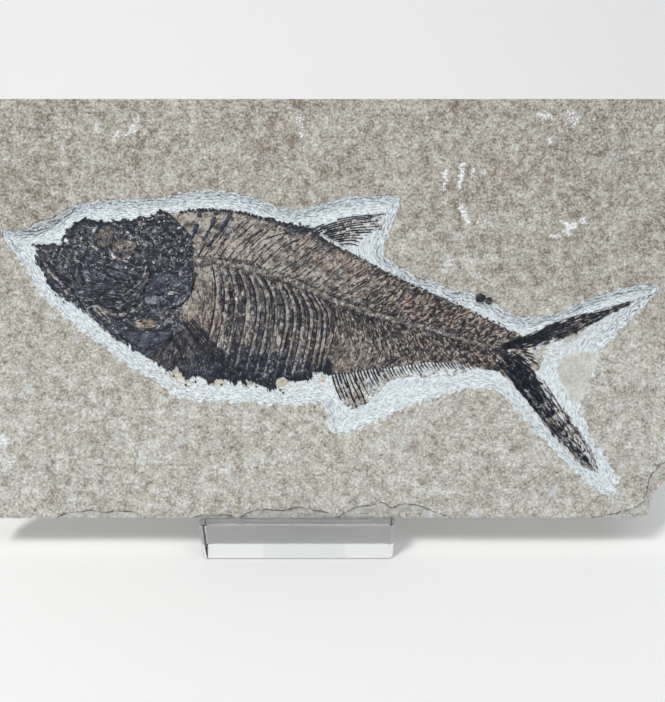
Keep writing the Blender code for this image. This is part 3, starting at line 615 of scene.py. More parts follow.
def make_tool_lines():
    """Fine broken lines that a scraping tool leaves, side by side, and the brushed tone between them."""
    tree, taken, given = new_group(
        "tool_lines",
        {"Track": None, "Coordinates": None, "Amount": 1.0},
        {"Line": "NodeSocketFloat", "Brushed": "NodeSocketFloat"},
    )
    spot = taken["Coordinates"]
    track = add_node(tree, "ShaderNodeSeparateXYZ", {0: taken["Track"]})
    wander = centred(tree, speckle(tree, spot, 4.2, 2, 0.5))
    jitter = centred(tree, speckle(tree, spot, 0.9, 2, 0.6))
    across = calc(tree, "MULTIPLY_ADD", wander, 3.6, track.outputs["X"])
    across = calc(tree, "MULTIPLY_ADD", jitter, 0.9, across)
    phase = calc(tree, "FRACT", calc(tree, "DIVIDE", across, SCRAPE_PITCH))
    peak = calc(tree, "ABSOLUTE", centred(tree, phase))
    line = stepped(tree, peak, 0.34, 0.44)
    along = stretched(tree, taken["Track"], (0.9, 0.28, 1))
    broken = stepped(tree, speckle(tree, along, 1.3, 3, 0.7), 0.45, 0.53)
    kept = times(tree, times(tree, line, broken), taken["Amount"])
    brushed = speckle(tree, stretched(tree, taken["Track"], (1.0, 0.3, 1)), 0.6, 4, 0.8, 0.3)
    tree.links.new(kept, given["Line"])
    tree.links.new(brushed, given["Brushed"])
    return tree


# Fossil bone from blue-black through brown and tan to pale stone
BONE_COLOURS = (
    (0.0, (0.006, 0.0075, 0.0125)), (0.20, (0.026, 0.031, 0.046)), (0.42, (0.092, 0.086, 0.086)),
    (0.62, (0.245, 0.213, 0.180)), (0.82, (0.49, 0.46, 0.405)), (1.0, (0.76, 0.79, 0.80)),
)
RUST_TINT = (1.06, 0.83, 0.76, 1)
BLUE_TINT = (0.76, 0.94, 1.32, 1)


def bone_ramp(tree, value):
    ramp = tree.nodes.new("ShaderNodeValToRGB")
    while len(ramp.color_ramp.elements) < len(BONE_COLOURS):
        ramp.color_ramp.elements.new(0.5)
    for element, (place, colour) in zip(ramp.color_ramp.elements, BONE_COLOURS):
        element.position = place
        element.color = (*colour, 1)
    tree.links.new(value, ramp.inputs[0])
    return ramp.outputs[0]


def make_bone_patina():
    """The colour and height of fossil bone and film, in small scraps, streaks and cracks."""
    tree, taken, given = new_group(
        "bone_patina",
        {"Coordinates": None, "Grain": None, "Tone": None, "Contrast": 1.0, "Streaks": 1.4, "Cracks": 0.3,
         "Speckle": 1.0, "Flecks": 0.3, "Scraps": 0.3, "Palest": 1.0},
        {"Color": "NodeSocketColor", "Roughness": "NodeSocketFloat", "Height": "NodeSocketFloat"},
    )
    spot, grain = taken["Coordinates"], taken["Grain"]
    tone = add_node(tree, "ShaderNodeSeparateXYZ", {0: taken["Tone"]})
    fine = centred(tree, speckle(tree, grain, 0.6, 4, 0.75))
    salt = centred(tree, speckle(tree, spot, 0.75, 2, 0.75))
    broad = centred(tree, speckle(tree, spot, 2.6, 4, 0.7, 0.3))
    scraps = centred(tree, shards(tree, grain, 1.2))
    swing = calc(tree, "MULTIPLY_ADD", fine, taken["Streaks"], times(tree, broad, 1.3))
    swing = calc(tree, "MULTIPLY_ADD", times(tree, salt, 1.5), taken["Speckle"], swing)
    swing = calc(tree, "MULTIPLY_ADD", scraps, taken["Scraps"], swing)
    vein = calc(tree, "ABSOLUTE", centred(tree, speckle(tree, grain, 1.9, 4, 0.6, 1.2)))
    crack = times(tree, stepped(tree, vein, 0.035, 0.008), taken["Cracks"])
    fleck = stepped(tree, speckle(tree, grain, 1.3, 3, 0.65, 1.0), 0.575, 0.62)
    value = calc(tree, "MULTIPLY_ADD", swing, taken["Contrast"], tone.outputs["X"])
    value = calc(tree, "MULTIPLY_ADD", fleck, taken["Flecks"], calc(tree, "SUBTRACT", value, crack))
    value = calc(tree, "MINIMUM", value, taken["Palest"])
    colour = bone_ramp(tree, value)
    hue = times(tree, centred(tree, speckle(tree, spot, 3.2, 4, 0.7, 0.2)), 2.4)
    rust = times(tree, calc(tree, "ADD", tone.outputs["Y"], hue), 0.6, clamp=True)
    colour = laid_over(tree, rust, colour, tinted(tree, colour, RUST_TINT))
    blue = times(tree, calc(tree, "SUBTRACT", tone.outputs["Z"], hue), 0.9, clamp=True)
    colour = laid_over(tree, blue, colour, tinted(tree, colour, BLUE_TINT))
    tree.links.new(colour, given["Color"])
    tree.links.new(stepped(tree, value, 0.1, 0.8, 0.38, 0.85), given["Roughness"])
    height = calc(tree, "ADD", fine, calc(tree, "ADD", salt, times(tree, broad, 0.8)))
    height = calc(tree, "MULTIPLY_ADD", scraps, 0.4, height)
    tree.links.new(calc(tree, "SUBTRACT", height, crack), given["Height"])
    return tree


def new_material(name):
    material = bpy.data.materials.new(name)
    material.use_nodes = True
    tree = material.node_tree
    return material, tree, tree.nodes["Principled BSDF"]


def wire(tree, shader, colour, roughness, height, relief_mm, strength):
    """Colour, roughness and a fine relief into a material's shader."""
    feed(tree, shader.inputs["Base Color"], colour)
    feed(tree, shader.inputs["Roughness"], roughness)
    values = {"Height": height, "Distance": relief_mm * MM, "Strength": strength}
    tree.links.new(add_node(tree, "ShaderNodeBump", values).outputs["Normal"], shader.inputs["Normal"])


CHALK_SHADE = (0.30, 0.355, 0.425, 1)
CHALK = (0.89, 0.97, 1.0, 1)
TOOL_MARK = (0.10, 0.11, 0.13, 1)
SMOOTH_STONE = (0.60, 0.62, 0.565, 1)
BUFF_TINT = (1.0, 0.92, 0.76, 1)
CALCITE_BLOOM = (0.68, 0.73, 0.78, 1)
CALCITE_WHITE = (0.90, 0.92, 0.95, 1)
SPECK = (0.80, 0.82, 0.86, 1)
FRESH_BREAK = (0.47, 0.48, 0.465, 1)
CRACK = (0.08, 0.075, 0.07, 1)


def chalk_colour(tree, spot, brushed):
    """Chalky stone, bruised by the tool: greyer where the tool marks are, which also carries painted shade on
    the trench's upper side.
    """
    grain = centred(tree, shards(tree, spot, 0.8))
    tone = calc(tree, "MULTIPLY_ADD", grain, 0.30, stepped(tree, brushed, 0.33, 0.62))
    tone = calc(tree, "SUBTRACT", tone, times(tree, point_value(tree, "tool_marks_and_shade"), 0.26))
    return laid_over(tree, calc(tree, "ADD", tone, 0.19, clamp=True), CHALK_SHADE, CHALK)


def with_buff_stains(tree, spot, stone, colour):
    """Yellowish stains, ragged at their edges."""
    mottle = centred(tree, speckle(tree, spot, 1.7, 5, 0.8))
    buff = point_value(tree, "buff")
    cover = stepped(tree, calc(tree, "MULTIPLY_ADD", mottle, 3.0, buff), 0.25, 0.95)
    cover = times(tree, cover, stepped(tree, buff, 0.0, 0.15))
    brightness = stepped(tree, mottle, -0.14, 0.14, 0.78, 1.12)
    warm = scaled_colour(tree, tinted(tree, stone, BUFF_TINT), brightness)
    return laid_over(tree, times(tree, cover, 0.85), colour, warm)


def with_calcite(tree, spot, colour):
    """Clusters of white crystals, and single specks all over."""
    calcite = calc(tree, "MULTIPLY_ADD", point_value(tree, "calcite"), 0.375,
                   speckle(tree, spot, 0.8, 3, 0.8, 0.4))
    colour = laid_over(tree, stepped(tree, calcite, 0.60, 1.0, 0.0, 0.4), colour, CALCITE_BLOOM)
    colour = laid_over(tree, stepped(tree, calcite, 0.87, 0.90), colour, CALCITE_WHITE)
    return laid_over(tree, stepped(tree, speckle(tree, spot, 0.8, 2, 0.6), 0.72, 0.745), colour, SPECK)


def with_flakes(tree, spot, colour):
    """Fresher stone where beds have flaked off, and a dark crack at their edge."""
    flake = point_value(tree, "flake")
    wander = times(tree, centred(tree, speckle(tree, spot, 1.3, 3, 0.7)), 1.4)
    crack = stepped(tree, calc(tree, "ABSOLUTE", calc(tree, "ADD", flake, wander)), 0.34, 0.12)
    crack = times(tree, crack, stepped(tree, speckle(tree, spot, 4, 3, 0.7), 0.38, 0.52))
    colour = laid_over(tree, stepped(tree, flake, 0.1, 0.5, 0.0, 0.4), colour, FRESH_BREAK)
    return laid_over(tree, times(tree, crack, 0.88), colour, CRACK)


def limestone_material(groups):
    """Mottled beige limestone, chalky white with tool lines where it was scraped; its upper half is greyer
    with more tool lines, partly as painted shade.
    """
    material, tree, shader = new_material("limestone")
    spot = face_coordinates(tree)
    stone = use_group(tree, groups["stone_grain"], {
        "Coordinates": spot, "Warmth": point_value(tree, "warmth"),
    })
    amount = point_value(tree, "scraped")
    lines = use_group(tree, groups["tool_lines"], {
        "Track": point_value(tree, "track", vector=True), "Coordinates": spot,
        "Amount": point_value(tree, "tool_marks_and_shade"),
    })
    patchy = times(tree, centred(tree, speckle(tree, spot, 1.1, 3, 0.7)), 0.5)
    chalky = stepped(tree, calc(tree, "ADD", amount, patchy, clamp=True), 0.25, 0.75)
    chalk = chalk_colour(tree, spot, lines["Brushed"])
    colour = laid_over(tree, times(tree, chalky, 0.96), stone["Color"], chalk)
    # Dark tool lines, stronger in the trench's upper half, where they also stand for painted shade
    colour = laid_over(tree, times(tree, lines["Line"], 0.85), colour, TOOL_MARK)
    smooth_colour = laid_over(tree, 0.42, SMOOTH_STONE, stone["Color"])
    colour = laid_over(tree, point_value(tree, "smooth_stone"), colour, smooth_colour)
    colour = with_buff_stains(tree, spot, stone["Color"], colour)
    colour = with_calcite(tree, spot, colour)
    colour = with_flakes(tree, spot, colour)
    beds = speckle(tree, stretched(tree, spot, (0.35, 0.35, 2.4)), 1.8, 3, 0.6)
    bedded = scaled_colour(tree, colour, stepped(tree, beds, 0.3, 0.7, 0.72, 1.15))
    colour = laid_over(tree, point_value(tree, "side"), colour, bedded)
    relief = calc(tree, "SUBTRACT", stone["Height"], times(tree, lines["Line"], 1.2))
    scored = times(tree, lines["Brushed"], times(tree, amount, 0.8))
    wire(tree, shader, colour, 0.88, calc(tree, "ADD", relief, scored), 0.22, 0.8)
    shader.inputs["Specular IOR Level"].default_value = 0.3
    return material


def bone_material(groups, name, grained, **effect):
    """One of the fossil's finishes; its tone and, if it has one, its grain come from the piece's points."""
    material, tree, shader = new_material(name)
    spot = face_coordinates(tree)
    values = {
        **effect, "Coordinates": spot, "Tone": point_value(tree, "tone", vector=True),
        "Grain": point_value(tree, "grain", vector=True) if grained else spot,
    }
    patina = use_group(tree, groups["bone_patina"], values)
    wire(tree, shader, patina["Color"], patina["Roughness"], patina["Height"], 0.2, 1.0)
    shader.inputs["Specular IOR Level"].default_value = 0.4
    return material


def clear_material():
    """Clear acrylic, a little smudged and scratched from handling."""
    material, tree, shader = new_material("clear_acrylic")
    spot = face_coordinates(tree)
    shader.inputs["Transmission Weight"].default_value = 1.0
    shader.inputs["IOR"].default_value = 1.49
    smudges = stepped(tree, speckle(tree, spot, 7, 4, 0.7), 0.52, 0.72, 0.015, 0.16)
    scratches = speckle(tree, stretched(tree, spot, (0.25, 2.5, 1.0)), 0.9, 3, 0.7)
    wire(tree, shader, (0.97, 0.985, 0.985, 1), smudges, scratches, 0.01, 0.3)
    return material


# ---- the slab

def slab_edge():
    """The slab's outline from the front: a sawn foot, a broken corner and slightly uneven sides."""
    half = SLAB_WIDTH / 2
    corners = [(-half, 0), *BROKEN_CORNER, (half, SLAB_HEIGHT), (-half, SLAB_HEIGHT)]
    edge = spaced(corners, EDGE_PITCH, closed=True)
    inward = np.column_stack([-np.sign(edge[:, 0]), np.where(edge[:, 1] > SLAB_HEIGHT / 2, -1.0, 1.0)])
    wear = 0.10 + 0.10 * lumps(edge, 6, 3) + 0.07 * lumps(edge, 1.8, 4)
    on_side = np.abs(np.abs(edge[:, 0]) - half) < 0.01
    on_end = (edge[:, 1] < 0.01) | (edge[:, 1] > SLAB_HEIGHT - 0.01)
    pull = np.clip(wear, 0, 0.6)[:, None] * inward * np.column_stack([on_side, on_end])
    return edge + pull


def trench_values(points, fish):
    """Depth of the scraped trench at points, and the values that its finish needs."""
    rim_run = smooth_run(HALO, 2.0, closed=True)
    rim = signed(points, rim_run)
    _, along = nearest(points, rim_run, closed=True)
    outlines = (fish, DORSAL_EDGE, ANAL_EDGE)
    gap = np.min([np.maximum(-signed(points, outline), 0) for outline in outlines], axis=0)
    ripple = 0.35 * lumps(points, 7, 1) + 0.25 * lumps(points, 1.4, 2)
    across = rim + ripple
    slope = ease(across, -0.1, RIM_SLOPE)
    beside = ease(gap, 2.4, 0.2)
    depth = slope * (TRENCH_DEPTH + (TRENCH_AT_FISH - TRENCH_DEPTH) * beside)
    groove = 0.5 + 0.5 * np.cos(2 * math.pi * across / SCRAPE_PITCH)
    depth += 0.10 * groove ** 2 * ease(rim, 0.0, 1.0) * ease(gap, 0.4, 1.5)
    depth += 0.05 * lumps(points, 0.9, 5) * ease(rim, 0, 1)
    return rim, along, depth


def slab_values(points, fish):
    """Height of the slab's face at points, and the named values for its material."""
    rim, along, depth = trench_values(points, fish)
    height = -0.12 + 0.07 * lumps(points, 24, 6) + 0.035 * lumps(points, 3.2, 7) - depth
    flake = np.full(len(points), -3.0)
    for index, outline in enumerate(FLAKES):
        reach = signed(points, smooth_run(outline, 1.0, closed=True)) + 0.25 * lumps(points, 2.2, 8)
        height -= (0.38 + 0.06 * index) * ease(reach, -0.1, 0.25)
        flake = np.where(np.abs(reach) < np.abs(flake), reach, flake)
    for outline in UPPER_FLAKES:
        reach = signed(points, outline)
        flake = np.where(np.abs(reach) < np.abs(flake), reach, flake)
        height -= 0.12 * ease(reach, -0.1, 0.3)
    upper = ease(points[:, 1] - height_at(COLUMN, points[:, 0]), -12, 12)
    smooth_stone = ease(signed(points, SMOOTH_PATCH) + 0.9 * lumps(points, 3, 15), -1.6, 1.6)
    fade = 1.3 - 0.9 * upper
    scraped = ease(rim + (0.5 + fade) * lumps(points, 2.0, 9), -fade, 1.0) * (1 - 0.75 * smooth_stone)
    # Tool marks over the trench, stronger in its upper half: partly real tool marks, partly painted shade on
    # the upper wall that greys the chalk and darkens its lines there
    tool_marks_and_shade = ease(rim, -0.6, 0.4) * (0.35 + 0.65 * upper) * (1 - 0.65 * ease(rim, 2.5, 5.5))
    # Browner and darker up the face, paler and cooler towards the lower edge: partly the stone's own colour,
    # partly painted light and shade
    warmth = 0.325 + 0.24 * ease(points[:, 1], 15, 150) + 0.08 * lumps(points, 40, 10)
    values = {
        "scraped": scraped,
        "tool_marks_and_shade": np.clip(tool_marks_and_shade * (1 - smooth_stone), 0, 1),
        "track": np.column_stack([rim, along, 0 * rim]),
        "warmth": warmth - 0.10 * smooth_stone,
        "buff": blots(points, BUFF_STAINS, ragged=1.3, size=1.3),
        "smooth_stone": 0.85 * smooth_stone,
        "calcite": blots(points, np.array(CALCITE) * CALCITE_SPREAD, ragged=0.8, size=1.3),
        "flake": flake,
    }
    return height, values


BUFF_STAINS = (
    (-61, 57, 5.5, 2.6, -25, 0.9), (-44.6, 54.4, 3, 2, 0, 0.8), (-33, 54.4, 2.6, 1.8, 0, 0.8),
    (-19.5, 54.6, 3.4, 2.4, 0, 0.9), (-3.4, 56, 1.8, 2.2, 0, 0.9), (84, 66.6, 3, 2, 0, 0.8),
    (82.5, 43.5, 4, 1.5, -52, 0.9), (98, 72.5, 7, 1.6, 24, 0.6), (10, 117.5, 8, 2.4, 12, 0.4),
)
CALCITE = (
    (-107.6, 148, 1.0, 3.2, 5, 0.9), (-93.6, 156.5, 0.9, 4.5, 8, 1.0), (-84.5, 153.8, 3.4, 1.2, -8, 1.0),
    (-79, 156.5, 1.8, 4.8, -20, 1.0), (-74.8, 153, 1.2, 2, -30, 0.9), (-78.6, 147.6, 1.2, 1.2, 0, 1.0),
    (-12.4, 159.4, 1.8, 3.6, 15, 0.9), (-12, 153.6, 2, 1.4, -30, 0.9), (52, 137.2, 1.4, 5.2, -8, 1.1),
    (45.6, 137, 1.4, 3.4, 5, 1.1), (44.6, 131.4, 1.0, 3, -10, 1.0), (56.4, 138.6, 1.2, 2.6, -15, 1.0),
    (61, 138.2, 1.2, 1.8, -20, 1.0), (53.8, 120.8, 1.8, 4.6, 22, 1.1), (60, 117.6, 2.6, 1.6, 20, 0.9),
    (53, 113, 3, 1.0, 0, 0.9), (47, 103, 3.0, 3.6, 10, 0.85), (90, 113, 2.4, 1.3, 10, 1.05),
    (94.4, 115, 2, 1, 0, 1.0), (58.8, 96.4, 2.0, 0.8, 10, 1.0), (70, 97, 0.7, 1.5, 0, 1.0),
    (96.4, 107.8, 0.6, 1.7, 0, 1.0), (71, 104, 3, 1.8, 15, 0.7), (86, 161, 4.5, 1.6, -12, 1.0),
    (96.8, 160.6, 3.6, 2.8, 10, 0.9), (87.8, 150.8, 1.8, 1.8, 0, 1.0), (95.8, 117.2, 3.2, 2, -8, 1.1),
    (101, 119, 2, 1.4, 20, 1.0), (108, 131.5, 1.0, 3.6, -3, 0.7), (114, 144, 4, 4, 0, 0.6),
    (37, 115, 1.8, 1.8, 0, 0.8), (-131.4, 31, 2, 5, 8, 1.0), (-129.5, 22, 2.4, 3.4, 0, 0.9),
    (-121.4, 104, 1.2, 2.2, 0, 0.9), (-56, 147, 2, 2, 0, 0.6), (36, 163, 2.6, 1, 0, 0.9),
    (-18, 144, 1.2, 2.6, 10, 0.8), (-8, 147.4, 1, 2.2, 0, 0.8), (106, 98, 3, 2, 0, 0.5),
    (-103.6, 7, 3.2, 2.6, 40, 0.7), (-90, 12, 3, 2.2, 0, 0.55), (112.4, 7.4, 2.4, 1.6, -30, 0.7),
    (30, 31, 1.6, 5, 0, 0.6), (118, 60, 3, 2, 0, 0.5), (-40, 20, 3, 3, 0, 0.5), (12, 14, 4, 2, 0, 0.5),
)
CALCITE_SPREAD = (1, 1, 1.05, 1.1, 1, 1)


def slab_points(edge, fish, rng):
    """Points over the face, close together where it was scraped and along the flakes."""
    zone = smooth_run(HALO, 3.0, closed=True)
    coarse = scatter(edge, PLAIN_PITCH, rng)
    coarse = coarse[signed(coarse, zone) < -1.0]
    fine = scatter(zone, FINE_PITCH, rng, margin=0)
    hidden = inside(fine, fish) & (nearest(fine, fish, closed=True)[0] > 1.2)
    fine = fine[~hidden]
    ring = scatter(grown(zone, 1.6), FINE_PITCH * 1.3, rng, margin=0)
    ring = ring[~inside(ring, zone)]
    under = scatter(fish, HIDDEN_PITCH, rng, margin=0.8)
    flakes = [spaced(f, 0.5, closed=True) for f in FLAKES]
    lips = np.concatenate([f + offset for f in flakes for offset in ((0, 0.3), (0, -0.1), (0.25, -0.4))])
    lips = lips[inside(lips, edge)]
    lips = lips[nearest(lips, edge, closed=True)[0] > 0.4]
    return thinned(np.concatenate([fine, ring, under, lips, coarse]), LEAST_GAP)


def slab_sides(edge, height):
    """Rings of points down the layered sides, from the face's edge to the back."""
    inward = -outward_of(edge)
    along = np.arange(len(edge)) * EDGE_PITCH
    rings = []
    for level in (*np.arange(0.5, 9.6, 0.65), SLAB_THICKNESS):
        inset = 0.12 + 0.28 * (0.5 + 0.5 * math.sin(level * 2.1)) + 0.35 * ease(level, 8.6, 10)
        chips = 0.30 * lumps(np.column_stack([along, np.full(len(edge), level * 3.2)]), 3.2, 13)
        pull = np.clip(inset + chips, 0.02, 1.2)
        depth = height + (-SLAB_THICKNESS - height) * (level / SLAB_THICKNESS)
        rings.append(np.column_stack([edge + inward * pull[:, None], depth]))
    return rings


def make_slab(material):
    """The split face with its trench, layered sides and a plain back, in one closed mesh."""
    rng = np.random.default_rng(11)
    edge = slab_edge()
    fish = np.asarray(FISH)
    points, triangles = fill(edge, slab_points(edge, fish, rng))
    height, values = slab_values(points, fish)
    count, border = len(points), len(edge)
    near_edge, _ = nearest(points, edge, closed=True)
    height -= 0.35 * ease(near_edge, 0.9, 0.0) * (0.6 + 0.6 * np.clip(lumps(points, 4, 12), 0, 1))

    rings = slab_sides(edge, height[:border])
    starts = [0] + [count + k * border for k in range(len(rings))]
    loop = np.arange(border)
    following = np.roll(loop, -1)
    faces = triangles.tolist()
    for a, b in zip(starts, starts[1:]):
        faces += np.column_stack([a + loop, b + loop, b + following, a + following]).tolist()

    back_edge = rings[-1][:, :2]
    back_points, back_faces = fill(back_edge, scatter(back_edge, BACK_PITCH, rng, margin=0.7))
    faces += (starts[-1] + back_faces[:, ::-1]).tolist()
    extra = back_points[border:]
    extra_height = -SLAB_THICKNESS + 0.16 + 0.15 * lumps(extra, 9, 14)
    corners = np.vstack([np.column_stack([points, height]), *rings, np.column_stack([extra, extra_height])])
    off_face = len(corners) - count
    for name, value in values.items():
        values[name] = np.concatenate([value, np.zeros((off_face,) + value.shape[1:])])
    values["flake"][count:] = -3
    values["warmth"][count:] = 0.35
    values["track"][count:, 0] = -9
    values["side"] = np.repeat((0.0, 1.0), (count, off_face))
    make_piece("limestone_slab_face", corners, faces, material, ["limestone_slab"], values)


def outward_of(loop):
    """Unit directions out of a closed run of points."""
    heading = np.roll(loop, -1, 0) - np.roll(loop, 1, 0)
    out = np.column_stack([heading[:, 1], -heading[:, 0]])
    out /= np.hypot(*out.T)[:, None]
    return out if signed_area(loop) > 0 else -out


def grown(loop, amount):
    return loop + outward_of(loop) * amount


def thinned(points, least):
    """The points without those closer than least to an earlier one."""
    cells = np.floor(points / least).astype(int)
    _, first = np.unique(cells, axis=0, return_index=True)
    return points[np.sort(first)]


# ---- the fish

FISH = SKULL_FRONT + BACK + TAIL_EDGE[2:-3] + BELLY + BELLY_SCUTES + JAW_AND_THROAT
TRUNK = BACK + TAIL_JOIN + BELLY + BELLY_SCUTES + GILL_LINE[::-1]
SKULL = SKULL_FRONT + GILL_LINE + JAW_AND_THROAT


def film_level(points):
    """Height of the thin dark film that covers the fish."""
    gap, _ = nearest(points, FISH, closed=True)
    ridge = np.exp(-((points[:, 1] - height_at(COLUMN, points[:, 0])) / 2.4) ** 2) * (points[:, 0] > -55)
    level = FILM_TOP - 0.20 * ease(gap, 2.6, 0.0) + 0.12 * ridge
    return level + 0.05 * lumps(points, 3.4, 21) + 0.035 * lumps(points, 0.9, 22)


def frayed(outline, amount, step, seed, size):
    """An outline in short steps, made uneven."""
    edge = spaced(outline, step, closed=True)
    return edge + outward_of(edge) * (amount * lumps(edge, size, seed))[:, None]


def make_film(name, outline, pitch, tone, grain, material, stands_for, seed, level=film_level,
              under=-1.6, raggedness=0.28):
    """A thin plate over an outline, with a tone (paleness, rust, blue) and a grain at each point."""
    rng = np.random.default_rng(seed)
    edge = frayed(outline, raggedness, 0.5, seed, 1.4)
    corners, faces, points = plate(edge, scatter(edge, pitch, rng), level, under)
    below = len(corners) - len(points)
    values = {"tone": tone(points), "grain": grain(points)}
    values = {key: np.concatenate([value, value[:below]]) for key, value in values.items()}
    make_piece(name, corners, faces, material, stands_for, values)


TRUNK_PATCHES = (
    (-46, 96.5, 8, 5, 0, 0.7), (46, 65.5, 12, 2.6, -6, 0.6), (14, 68, 9, 7, -12, 0.35),
    (-2, 72, 3, 9, 10, 0.6), (-58, 121, 4.6, 1.8, 5, 0.8), (-49.5, 118, 2.4, 4.5, 20, 0.8),
    (-30, 108, 9, 4, 30, 0.6), (8, 98, 10, 4, -20, 0.5), (-36, 108, 6, 5, 30, 0.5),
    (-57.6, 87, 2.0, 4.2, -25, 0.8), (-33, 82, 2, 6, -5, 0.5), (-52, 99, 3, 2, 0, 0.9),
    (-22, 78, 1.4, 8, 0, 0.4),
)
# Where bare stone shows through the film
BARE_PATCHES = (
    (-43.4, 70.6, 1.7, 3.0, 0, 1.0), (-40.8, 67.4, 1.3, 1.8, 0, 0.8), (-20.4, 69, 1.2, 3.6, 8, 0.9),
    (-23.8, 60.4, 1.0, 3.0, 12, 0.9), (-12.8, 61.6, 1.0, 2.6, 12, 0.9), (-29.6, 60.6, 1.2, 1.6, 0, 0.8),
    (-16.4, 62, 0.8, 2.6, 12, 0.7), (-33.6, 72, 1.4, 3.2, 4, 0.7), (-59.4, 87.6, 1.3, 3.4, -20, 0.6),
    (-26.6, 57.6, 2.4, 0.9, -10, 0.8), (-37, 63.8, 0.8, 1.8, 0, 0.6),
)
DARK_PATCHES = (
    (-14.4, 115.4, 4, 1.4, -10, 1.0), (-3, 110.4, 9, 1.5, -27, 0.8), (10, 82.5, 12, 2.6, -22, 0.6),
    (-3, 60.5, 4, 4, 0, 0.5), (-54, 116, 1.6, 4, 25, 0.5), (-38, 88, 2.6, 9, 0, 0.5),
    (-12, 86, 3, 6, 0, 0.3), (30, 92, 7, 1.6, -26, 0.5), (46, 83, 8, 1.6, -26, 0.5),
    (58, 70, 8, 1.2, -20, 0.5),
)
RUST_PATCHES = (
    (-6, 62.5, 5, 4, 30, 1.0), (-48, 82, 7, 7, 0, 0.45), (0, 74, 7, 7, 0, 0.7), (40, 82, 16, 5, -24, 0.6),
    (8, 102, 10, 3, -25, 0.6), (-50, 78, 7, 4, 0, 0.5), (62, 63.4, 6, 3, -10, 1.2), (20, 97, 8, 2, -28, 0.8),
)
BLUE_PATCHES = (
    (-36, 60, 28, 7, 0, 0.8), (-23, 54.5, 5.4, 2.6, 12, 1.0), (-13, 115.4, 5, 1.5, -10, 1.0),
    (-28, 81, 3, 9, 0, 0.5), (-20, 84, 3, 8, 0, 0.4), (-54, 116, 2, 4, 20, 0.6), (-42, 117, 2, 4, 30, 0.6),
)

# Dark belly below this line, ribs above it
BELLY_LINE = ((-92, 78), (-60, 79), (-50, 74), (-38, 69), (-26, 66), (-12, 63), (-2, 60), (4, 56))


def rib_runs():
    """The ribs' runs, front to rear, slightly out of step."""
    rng = np.random.default_rng(5)
    runs = blended_runs((FRONT_RIB, MIDDLE_RIB, REAR_RIB), RIB_COUNT, RIB_POINTS)
    return [run + (rng.uniform(-0.35, 0.35), 0) for run in runs]


def trunk_tone(points):
    u, v = points.T
    above = v - height_at(COLUMN, u)
    in_belly = ease(height_at(BELLY_LINE, u) - v + 2.6 * lumps(points, 4, 31), -2.6, 2.6)
    pale = np.interp(u, (-60, -20, 10, 40, 62, 80), (0.72, 0.69, 0.64, 0.61, 0.62, 0.54))
    pale -= 0.07 * ease(above, 1, -3)
    pale -= 0.32 * in_belly
    pale -= 0.12 * np.exp(-(above / 2.0) ** 2)
    pale += 0.18 * blots(points, TRUNK_PATCHES, ragged=0.5, seed=1)
    pale -= 0.30 * blots(points, DARK_PATCHES, ragged=0.8, seed=4)
    edge, _ = nearest(points, BACK)
    pale -= 0.30 * ease(edge, 1.8, 0.3) * ease(u, 8, -8) * np.clip(0.55 + 1.2 * lumps(points, 3, 35), 0, 1)
    near_rib = np.min([nearest(points, run)[0] for run in rib_runs()], axis=0)
    ribbed = ease(above, -1, -3) * ease(u, 3, -3) * ease(u, -50, -42)
    blotches = ease(lumps(points, 1.3, 33), -0.40, 0.05)
    pale += ribbed * (0.14 * ease(near_rib, 0.9, 0.4) - 0.32 * blotches * ease(near_rib, 0.5, 1.0))
    slanted = np.column_stack([0.45 * (u * 0.8 + v * 0.6), v * 0.8 - u * 0.6])
    pale += 0.75 * ease(u, 4, 30) * lumps(slanted, 1.1, 37) + 0.09 * lumps(points, 5, 32)
    pale += 0.5 * blots(points, BARE_PATCHES, ragged=0.8, size=1.2, seed=1)
    rust = 0.3 + 0.6 * blots(points, RUST_PATCHES, seed=2) + 0.45 * ease(u, 0, 40)
    rust += 0.4 * lumps(points, 6, 36)
    rust -= 0.7 * in_belly + 0.7 * np.exp(-(above / 3.0) ** 2)
    blue = blots(points, BLUE_PATCHES, seed=3) + 0.35 * ribbed * blotches
    return np.column_stack([pale, rust, blue])


def lean_above(u):
    """Direction of the spines above the backbone, in degrees from the u axis."""
    return np.interp(u, (-56, -44, -26, -4, 30, 70), (64, 54, 40, 35, 30, 22))


def lean_below(u):
    return np.interp(u, (-4, 10, 30, 50, 70), (-78, -72, -62, -48, -30))


def trunk_grain(points):
    """Coordinates in which noise runs in streaks along the spines and ribs."""
    u, v = points.T
    above = ease(v - height_at(COLUMN, u), -1.5, 1.5)
    c, s = math.cos(math.radians(36)), math.sin(math.radians(36))
    upper = np.column_stack([v * c - u * s, 0.5 * (u * c + v * s)])
    bend = height_at([(q, p) for p, q in MIDDLE_RIB], v) - MIDDLE_RIB[0][0]
    lower = np.column_stack([u - bend, 0.35 * v])
    mixed = upper * above[:, None] + lower * (1 - above)[:, None]
    return np.column_stack([mixed, 0 * u])


def blended_runs(runs, count, points=12):
    """Runs spaced evenly in a family that passes from the first given run to the last."""
    given = []
    for run in runs:
        path = smooth_run(run, 0.4)
        share = np.linspace(0, len(path) - 1, points)
        given.append(np.column_stack([np.interp(share, np.arange(len(path)), path[:, k]) for k in (0, 1)]))
    given = np.array(given)
    marks = np.linspace(0, 1, len(runs))
    result = []
    for t in np.linspace(0, 1, count):
        k = min(int(t * (len(runs) - 1)), len(runs) - 2)
        s = (t - marks[k]) / (marks[k + 1] - marks[k])
        before, after = given[max(k - 1, 0)], given[min(k + 2, len(runs) - 1)]
        a, b = given[k], given[k + 1]
        result.append(0.5 * (2 * a + (b - before) * s + (2 * before - 5 * a + 4 * b - after) * s ** 2
                             + (3 * a - before - 3 * b + after) * s ** 3))
    return result


